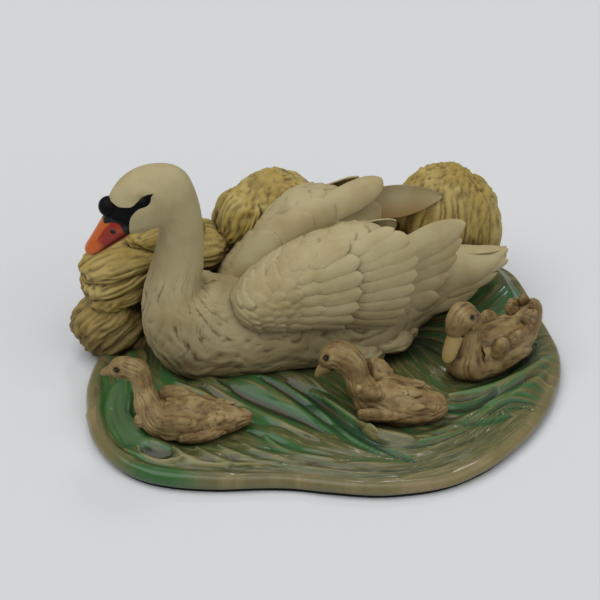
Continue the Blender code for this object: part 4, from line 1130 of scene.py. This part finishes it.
greenPatches = [
    # amount, middle x and y, half widths, turn
    (0.5, -76, -4, 12, 24), (0.35, -22, -10, 34, 12, -28), (0.15, 70, 26, 30, 18),
    (0.3, 62, -36, 22, 9, 20), (-0.5, 36, -62, 40, 10, 24), (-0.35, -44, -50, 34, 5, -15),
    (0.7, -74, -45, 24, 8, -28),
]
rimPatches = [(0.9, 44, -58, 44, 20, 26), (0.5, -90, -6, 10, 26), (-0.5, -76, -40, 14, 10)]
# patches of painted shadow, such as under the tail
shadowPatches = [(-1.0, 36, 5, 18, 11), (-0.5, 62, -16, 20, 5, 18)]


def patched(x, y, level, patches):
    # the level with soft patches added to it
    total = level + 0 * x
    for amount, *place in patches:
        total = total + amount * spot(x, y, *place)
    return total


def makeWater():
    outline = smoothThrough(baseShape["outline"] + baseShape["outline"][:1], 2000, 2)[:-1]
    cx, cy = baseShape["middle"]
    bearing = np.unwrap(np.arctan2(outline[:, 1] - cy, outline[:, 0] - cx))
    distance = np.hypot(outline[:, 0] - cx, outline[:, 1] - cy)
    # more columns on the open water in front than under the rocks
    raw = np.linspace(0, 1, baseShape["columns"], endpoint=False)
    full = bearing[0] + (bearing[-1] - bearing[0]) * np.linspace(0, 1, 4000)
    dense = np.where(np.sin(full) < 0.25, 1.0, 0.45)
    share = np.concatenate([[0], np.cumsum(dense[1:])])
    theta = np.interp(raw, share / share[-1], full)
    edge = np.interp(theta, bearing, distance)[None, :]
    lipRows = 34
    r = np.linspace(0.012, 1, baseShape["rows"] - lipRows) ** 0.8
    inset = 3.4
    reach = (edge - inset) * r[:, None]
    x = cx + np.cos(theta)[None, :] * reach
    y = cy + np.sin(theta)[None, :] * reach
    xs, ys, laneMap, runMap = flowField()
    lane, run = sampled(xs, ys, laneMap, x, y), sampled(xs, ys, runMap, x, y)
    fine, broad = waterHeight(x, y, lane, run)
    carved, strokeGreen, strokeLight = strokeFields(x, y)
    fine = fine * np.clip(1 - 0.5 * np.abs(carved), 0.25, 1) + carved
    fromEdge = edge - reach
    # the rim is rounded and a little raised, with a trough inside it on the left
    raised = 1.5 * np.exp(-(((fromEdge - 4.5) / 2.2) ** 2)) * step(-20, -70, x)
    raised = raised - 1.3 * np.exp(-(((fromEdge - 9.5) / 3.0) ** 2)) * step(-30, -76, x)
    fade = step(2.5, 9.0, fromEdge)
    level = baseShape["level"] - 1.9 * step(13, 3.4, fromEdge)
    highRim = 6.5 * spot(x, y, 86, 44, 20, 14, -40)
    z = level + fine * (0.25 + 0.75 * fade) + broad * step(3, 12, fromEdge) + raised
    z = z + highRim * step(26, 4, fromEdge)
    # edge: a rounded lip that turns under to the pad
    lip = np.linspace(0, 1, lipRows + 1)[1:, None]
    top = z[-1][None, :]
    angle = lip * math.radians(165)
    half = (top - baseShape["underside"]) / 2
    lipX = np.sin(angle) ** 0.8 * inset
    lipZ = baseShape["underside"] + half + half * np.cos(angle * 180 / 165)
    ripple = 0.35 * lumps(stack3(theta[None, :] * 9, lip * 2.0, 0 * lip), 1.0, 71)
    out = edge - inset + lipX + ripple * np.sin(lip * math.pi) - 0.35
    out = np.where(lip > 0.8, out - (lip - 0.8) * 9, out)
    lx, ly = cx + np.cos(theta)[None, :] * out, cy + np.sin(theta)[None, :] * out
    points = np.concatenate([stack3(x, y, z), stack3(lx, ly, lipZ)])
    allX, allY = points[..., 0], points[..., 1]

    def downTheLip(values):
        # the last row of the top goes on down the lip
        return np.concatenate([values, np.repeat(values[-1:], lipRows, 0)])
    hollow = hollows(downTheLip(fine), 4, 1.0)
    depth = np.concatenate([fromEdge, -5 * lip + 0 * theta[None, :] + 3.4])
    green = patched(allX, allY, 0.30, greenPatches) + downTheLip(strokeGreen)
    rim = step(7.0, 1.0, depth) * np.clip(patched(allX, allY, 0.35, rimPatches), 0, 1)
    calm = step(1.5, 7.0, depth)
    # painted highlights and shadows of the strokes, with the patches of painted shadow
    light = patched(allX, allY, downTheLip(strokeLight) * step(-2, 3, depth), shadowPatches)
    lane, run = downTheLip(lane), downTheLip(run) / 80
    return tubeGrid(points, hollow=hollow, crest=-hollow * calm, light=light, lane=lane, run=run,
                    green=green, rim=rim, calm=calm)


# Cygnets

cygnets = {
    # spine from the face to the tail: x, y, z, half height, half width, bearing of the tail side in degrees
    # tufts: share of the spine, out from the middle, up, half length, half height, thickness, tilt,
    # bearing, roll
    # eye: its x
    "leadingCygnet": {
        "spine": [
            (-84, -4.6, 28.6, 1.6, 1.8, -28), (-83, -5, 29.2, 3, 3.2, -28), (-81, -6, 30, 3.9, 3.9, -28),
            (-78.2, -7.2, 30.2, 4.5, 4.3, -28), (-75.6, -8.4, 29.2, 4.6, 4.4, -26),
            (-74.2, -9.4, 26.6, 4.2, 4.2, -24), (-73.8, -10.6, 23.6, 4, 4.2, -20),
            (-73.2, -12.4, 20.4, 4.5, 4.8, -16), (-72.6, -14.6, 16.8, 5.4, 5.8, -14),
            (-70, -17, 13.6, 7, 7.6, -14), (-65, -18.8, 12.4, 8.2, 9, -14),
            (-59, -20.2, 12.4, 8.6, 9.6, -13), (-53, -21.6, 12.2, 8, 9, -13),
            (-47, -23, 12.2, 6.4, 7.2, -13), (-42, -24.4, 12.6, 4.2, 5, -14),
            (-38, -25.6, 13.2, 2.4, 3.4, -14), (-36.4, -26.2, 13.4, 0.9, 1.6, -14),
        ],
        "bill": [(-82.0, -5.2, 29.0, 2.2, 2.4, -28), (-84.4, -4.0, 28.2, 2.0, 2.3, -28),
            (-86.4, -3.0, 27.2, 1.2, 2.0, -28), (-87.6, -2.4, 26.6, 0.5, 1.1, -28)],
        "eye": -81.2, "billPaint": 0.15, "seed": 3,
        "tufts": [
            (0.60, 7.6, 3.2, 9.5, 5, 2.6, -12, 4, 24), (0.72, 8.2, -1.2, 9, 3, 2.2, 4, 8, 10),
            (0.40, 5.4, -2.2, 2.8, 2.4, 2, 0, 0, 0), (0.80, 4.8, 3, 7, 2.6, 1.8, 8, 6, 30),
        ],
    },
    "middleCygnet": {
        "spine": [
            (-6.2, -16.2, 24.6, 1.8, 2.2, -42), (-5.2, -16.6, 26, 3.4, 3.8, -42),
            (-3, -17.4, 28.2, 5, 5.2, -42), (-0.2, -18.4, 28.8, 5.9, 5.8, -40),
            (2.8, -19.8, 27, 5.8, 5.8, -38), (4.8, -21.2, 23.2, 5, 5.4, -34),
            (5.8, -22.8, 19.2, 4.9, 5.8, -32), (8, -24.8, 15.6, 6.2, 7.2, -30),
            (11, -27.2, 13.8, 7.6, 9.2, -30), (15.5, -29.6, 13.6, 8.4, 10.4, -29),
            (20.5, -32.2, 13.2, 8.2, 10.2, -28), (25.5, -34.8, 12.6, 7, 8.6, -28),
            (29.2, -36.8, 12.8, 5.4, 6.4, -28), (32, -38.2, 13.6, 4.6, 5.2, -28),
            (34.2, -39.2, 14.4, 3, 3.6, -28), (35.2, -39.6, 14.8, 1.1, 1.6, -28),
        ],
        "bill": [(-4.4, -17.4, 24.8, 2.6, 3.0, -42), (-6.6, -16.6, 22.6, 2.2, 2.8, -42),
            (-8.0, -16.2, 20.6, 1.4, 2.4, -42), (-8.6, -16.0, 19.4, 0.6, 1.3, -42)],
        "eye": -3.4, "billPaint": 0.30, "seed": 5,
        "tufts": [
            (0.517, 6.4, 6.2, 6, 5.8, 3, 6, 0, 36), (0.60, 9.8, 0, 9.4, 3.2, 2.4, 4, 4, 10),
            (0.72, 3.2, 6.2, 8, 2.4, 2, 12, 4, 40), (0.76, 6.4, 3, 7, 2.4, 1.8, 8, 6, 24),
            (0.90, 3.4, 1.2, 4, 3, 2, 20, 10, 20),
        ],
    },
    "trailingCygnet": {
        "spine": [
            (44.6, -17.2, 28.4, 1.8, 2.2, 40), (45.2, -16.6, 30.4, 3.6, 3.8, 40),
            (46.6, -15.6, 32.8, 5.2, 4.9, 40), (48.8, -14.2, 34.2, 6, 5.3, 38),
            (51, -13, 32.6, 5.8, 5.5, 34), (51.8, -12.8, 28.8, 5.3, 5.5, 30),
            (51.2, -13.6, 24.2, 5.6, 6.2, 28), (50.4, -14.8, 19.4, 6.8, 7.6, 26),
            (51.6, -15, 14.8, 8.6, 9.2, 25), (58, -12.6, 13.6, 9.4, 10.2, 25),
            (64, -9.8, 14, 9.6, 10.8, 25), (70, -7, 14.8, 9, 10.2, 25), (76, -4.2, 16.6, 7.6, 8.6, 25),
            (80.6, -2, 20, 6, 6.4, 25), (83.2, -0.8, 23.8, 4, 4.4, 25), (83.8, -0.4, 26.6, 1.6, 2, 25),
        ],
        "bill": [(45.8, -16.6, 28.4, 3.0, 3.2, 40), (44.2, -18.2, 26.0, 2.5, 3.2, 42),
            (42.4, -20.0, 23.2, 1.8, 2.9, 44), (41.2, -21.2, 21.2, 1.0, 2.2, 44),
            (40.6, -21.8, 20.2, 0.4, 1.0, 44)],
        "eye": 48.9, "billPaint": 1.0, "seed": 8,
        "tufts": [
            (0.555, 7.8, 6, 4.6, 7.6, 3, 4, 10, 18), (0.70, 7.2, 4.6, 7.6, 4.8, 2.4, -26, 10, 20),
            (0.86, 4, 4.6, 6.6, 3.6, 2, -46, 10, 20), (0.72, 8.6, -1.6, 8, 3.4, 2.2, -16, 8, 10),
            (0.93, 2.6, 3, 5.4, 2.4, 1.8, -66, 12, 10),
        ],
    },
}


def spineRings(rows, count, columns):
    # rings round a path: each lies across the path's run and keeps its wide side level
    table = smoothThrough(rows, count, 3)
    middle = table[:, 0:3]
    run = np.gradient(middle, axis=0)
    run /= np.linalg.norm(run, axis=1, keepdims=True)
    bearing = np.radians(table[:, 5])
    side = np.stack([np.sin(bearing), -np.cos(bearing), 0 * bearing], axis=1)
    side -= run * np.sum(side * run, axis=1, keepdims=True)
    side /= np.linalg.norm(side, axis=1, keepdims=True)
    up = np.cross(side, run)
    a = np.arange(columns) / columns * 2 * math.pi
    across = side[:, None, :] * (table[:, 4:5] * np.sin(a))[..., None]
    along = up[:, None, :] * (table[:, 3:4] * np.cos(a))[..., None]
    return middle[:, None, :] + across + along, table, run, side, up, a


def makeCygnet(name):
    setting = cygnets[name]
    seed = setting["seed"]
    points, table, run, side, up, a = spineRings(setting["spine"], 130, 96)
    normal = outward(points)
    # short strands on the head and neck, small tufts down the back
    warp = points + 50 * seed
    u = distanceAlong(table[:, 0:3])[:, None]
    along = u / 3.0 + 0.4 * rough(warp, 5, 2, seed + 3)
    across = a[None, :] / (2 * math.pi) * 24 + 0.6 * rough(warp, 6, 2, seed)
    down = plumage(along, across, 24, seed=seed, length=2.3, width=0.62, point=0.85, stray=0.35)[0]
    threads = stack3(u / 7.0, across * 1.5 + 0.5 * lumps(warp, 3, 8), 0 * across)
    strands = 1.6 * np.abs(lumps(threads, 1.0, seed + 5)) ** 0.8 - 0.7
    onBody = step(20, 30, u)
    down = blurred(down, 1)
    height = (0.28 * onBody + 0.06) * (down - 0.55) + (0.30 + 0.16 * onBody) * strands
    height = (height + 0.55 * rough(warp, 4.5, 2, seed + 7)) * np.clip(u / 5, 0.2, 1)
    eyeRing = np.argmin(np.abs(table[:40, 0] - setting["eye"]))

    def onFace(face, out, rise):
        # a point beside the eye's ring, in shares of the head's half width and half height
        sideways = face * side[eyeRing] * table[eyeRing, 4] * out
        return table[eyeRing, 0:3] + sideways + up[eyeRing] * table[eyeRing, 3] * rise
    for face in (-1, 1):
        # the eye lies in a slot under a low brow
        gap = np.linalg.norm(points - onFace(face, 0.88, 0.45), axis=2)
        height = height - 0.7 * np.exp(-((gap / 1.2) ** 2)) + 0.30 * np.exp(-(((gap - 2.4) / 1.0) ** 2))
    points = points + normal * height[..., None]
    grids = [tubeGrid(points, hollow=1.3 * hollows(height, 3, 0.60) + 0.15, bill=0.0)]
    for share, out, lift, halfLong, halfTall, thick, tilt, bearing, roll in setting["tufts"]:
        here = int(share * (len(table) - 1))
        for face in (-1, 1):
            heading = math.degrees(math.atan2(run[here, 1], run[here, 0]))
            turn = turned("Z", heading - face * bearing) @ turned("Y", -tilt) @ turned("X", -face * roll)
            p = ballGrid((0, 0, 0), (1, 1, 1), 40, 44) @ turned("Y", 90).T
            taper = 1 - 0.35 * np.clip(p[..., 0:1], -1, 1) * np.array([0, 0, 1])
            p = p * np.array((halfLong, thick, halfTall)) * taper
            fan = np.arctan2(p[..., 2] + 0.5 * lumps(p + seed, 3, seed), p[..., 0] + 1.25 * halfLong)
            away = np.hypot(p[..., 2], p[..., 0] + 1.25 * halfLong)
            spread = stack3(fan * halfLong * 2.2, away / 7.0, 0 * fan)
            ridges = 1.6 * np.abs(lumps(spread, 1.1, seed + here)) ** 0.8 - 0.7
            rings = np.cos(away * 2 * math.pi / 3.4 + 1.5 * lumps(p + seed, 4, seed + 1))
            h = 0.34 * ridges + 0.06 * rings + 0.12 * rough(p + seed, 4, 2, seed + here)
            p = p + outward(p) * h[..., None]
            away = np.array((-run[here, 1], run[here, 0], 0.0)) / np.hypot(run[here, 0], run[here, 1])
            centre = table[here, 0:3] + face * away * out + np.array((0, 0, lift))
            hollow = 1.2 * hollows(h, 3, 0.45) + 0.10
            grids.append(tubeGrid(p @ turn.T + centre, hollow=hollow, bill=0.0))
    bill = spineRings(setting["bill"], 40, 40)[0]
    grids.append(tubeGrid(bill, hollow=0.1, bill=setting["billPaint"]))
    for face in (-1, 1):
        ball = ballGrid(onFace(face, 0.80, 0.42), (1.15, 1.15, 0.65), 12, 14)
        grids.append(tubeGrid(ball, hollow=2.0, bill=0.0))
    return grids


# Pad under the base

padSteps = [(0.25, 0.0), (0.970, 0.0), (0.977, 0.25), (0.977, 0.75), (0.970, 1.0), (0.25, 1.0)]


def makeFelt():
    # rings of the outline drawn in to a share of its size, at these heights
    outline = smoothThrough(baseShape["outline"] + baseShape["outline"][:1], 361, 2)[:-1]
    middle = np.array(baseShape["middle"])
    rows = []
    for share, z in padSteps:
        flat = middle + (outline - middle) * share
        rows.append(np.column_stack([flat, np.full(len(flat), z)]))
    return tubeGrid(np.array(rows))


print("paint")
resin = ("painted_resin", "swan_casting")
ivory = makeSwanPaint()
print("swan")
addPiece("swanTrunk", [makeTrunk()] + makeLobes(), ivory, *resin)
addPiece("nearWing", makeWing(-1), ivory, *resin)
addPiece("farWing", makeWing(1), ivory, *resin)
addPiece("tailAndTips", makeTips(), ivory, *resin)
addPiece("bill", [makeBill()], makeBillPaint(), *resin)
black = makePlainPaint("black_mask", (0.003, 0.003, 0.004), 0.6, 0.12)
addPiece("knob", makeKnob(), black, *resin)
glossy = makePlainPaint("black_eye", (0.003, 0.003, 0.003), 0.5, 0.15)
addPiece("eyes", makeEyes(), glossy, *resin)
print("rocks")
addPiece("rocks", makeRocks(), makeRockPaint(), *resin)
print("water")
addPiece("water", [makeWater()], makeWaterPaint(), *resin)
print("cygnets")
tan = makeCygnetPaint()
for cygnetName in cygnets:
    addPiece(cygnetName, makeCygnet(cygnetName), tan, *resin)
felt = makePlainPaint("green_felt", (0.006, 0.014, 0.009), 0.95)
addPiece("feltPad", [makeFelt()], felt, "green_felt", "felt_pad")

# Floor, light and camera

studio = {
    "floor": (0.685, 0.70, 0.715), "ambient": 0.22, "key": 1.70, "keyAngle": 60, "keyFrom": (-80, 67),
    "fill": 0.80, "fillFrom": (38, 45), "glint": 0.22, "glintFrom": (158, 50),
}


def makeFloor():
    mesh = bpy.data.meshes.new("floor")
    mesh.from_pydata([(-4, -4, 0), (4, -4, 0), (4, 6, 0), (-4, 6, 0)], [], [(0, 1, 2, 3)])
    floor = bpy.data.objects.new("floor", mesh)
    bpy.context.scene.collection.objects.link(floor)
    material = bpy.data.materials.new("pale_floor")
    material.use_nodes = True
    shader = material.node_tree.nodes["Principled BSDF"]
    shader.inputs["Base Color"].default_value = (*studio["floor"], 1)
    shader.inputs["Roughness"].default_value = 0.9
    shader.inputs["Specular IOR Level"].default_value = 0.1
    mesh.materials.append(material)


def addSun(name, strength, bearing, elevation, angle):
    light = bpy.data.lights.new(name, "SUN")
    light.energy = strength
    light.angle = math.radians(angle)
    lamp = bpy.data.objects.new(name, light)
    a, e = math.radians(bearing), math.radians(elevation)
    away = Vector((math.sin(a) * math.cos(e), -math.cos(a) * math.cos(e), math.sin(e)))
    lamp.rotation_euler = away.to_track_quat("Z", "Y").to_euler()
    bpy.context.scene.collection.objects.link(lamp)


def setWorld():
    world = bpy.data.worlds.new("studio")
    world.use_nodes = True
    background = world.node_tree.nodes["Background"]
    background.inputs["Color"].default_value = (1, 1, 1, 1)
    background.inputs["Strength"].default_value = studio["ambient"]
    bpy.context.scene.world = world


viewPoint = {
    "target": (-0.0050, 0.0217, 0.0281),
        "bearing": -15.0, "elevation": 35.0, "distance": 0.70, "lens": 107.7,
}


def addCamera():
    camera = bpy.data.cameras.new("camera")
    camera.lens = viewPoint["lens"]
    camera.sensor_width = 36
    camera.clip_start = 0.01
    camera.clip_end = 20
    holder = bpy.data.objects.new("camera", camera)
    a, e = math.radians(viewPoint["bearing"]), math.radians(viewPoint["elevation"])
    back = Vector((math.sin(a) * math.cos(e), -math.cos(a) * math.cos(e), math.sin(e)))
    holder.location = Vector(viewPoint["target"]) + back * viewPoint["distance"]
    holder.rotation_euler = back.to_track_quat("Z", "Y").to_euler()
    bpy.context.scene.collection.objects.link(holder)
    bpy.context.scene.camera = holder


makeFloor()
addSun("key", studio["key"], *studio["keyFrom"], studio["keyAngle"])
addSun("fill", studio["fill"], *studio["fillFrom"], 60)
addSun("glint", studio["glint"], *studio["glintFrom"], 7)
setWorld()
addCamera()
bpy.context.scene.view_settings.view_transform = "Standard"
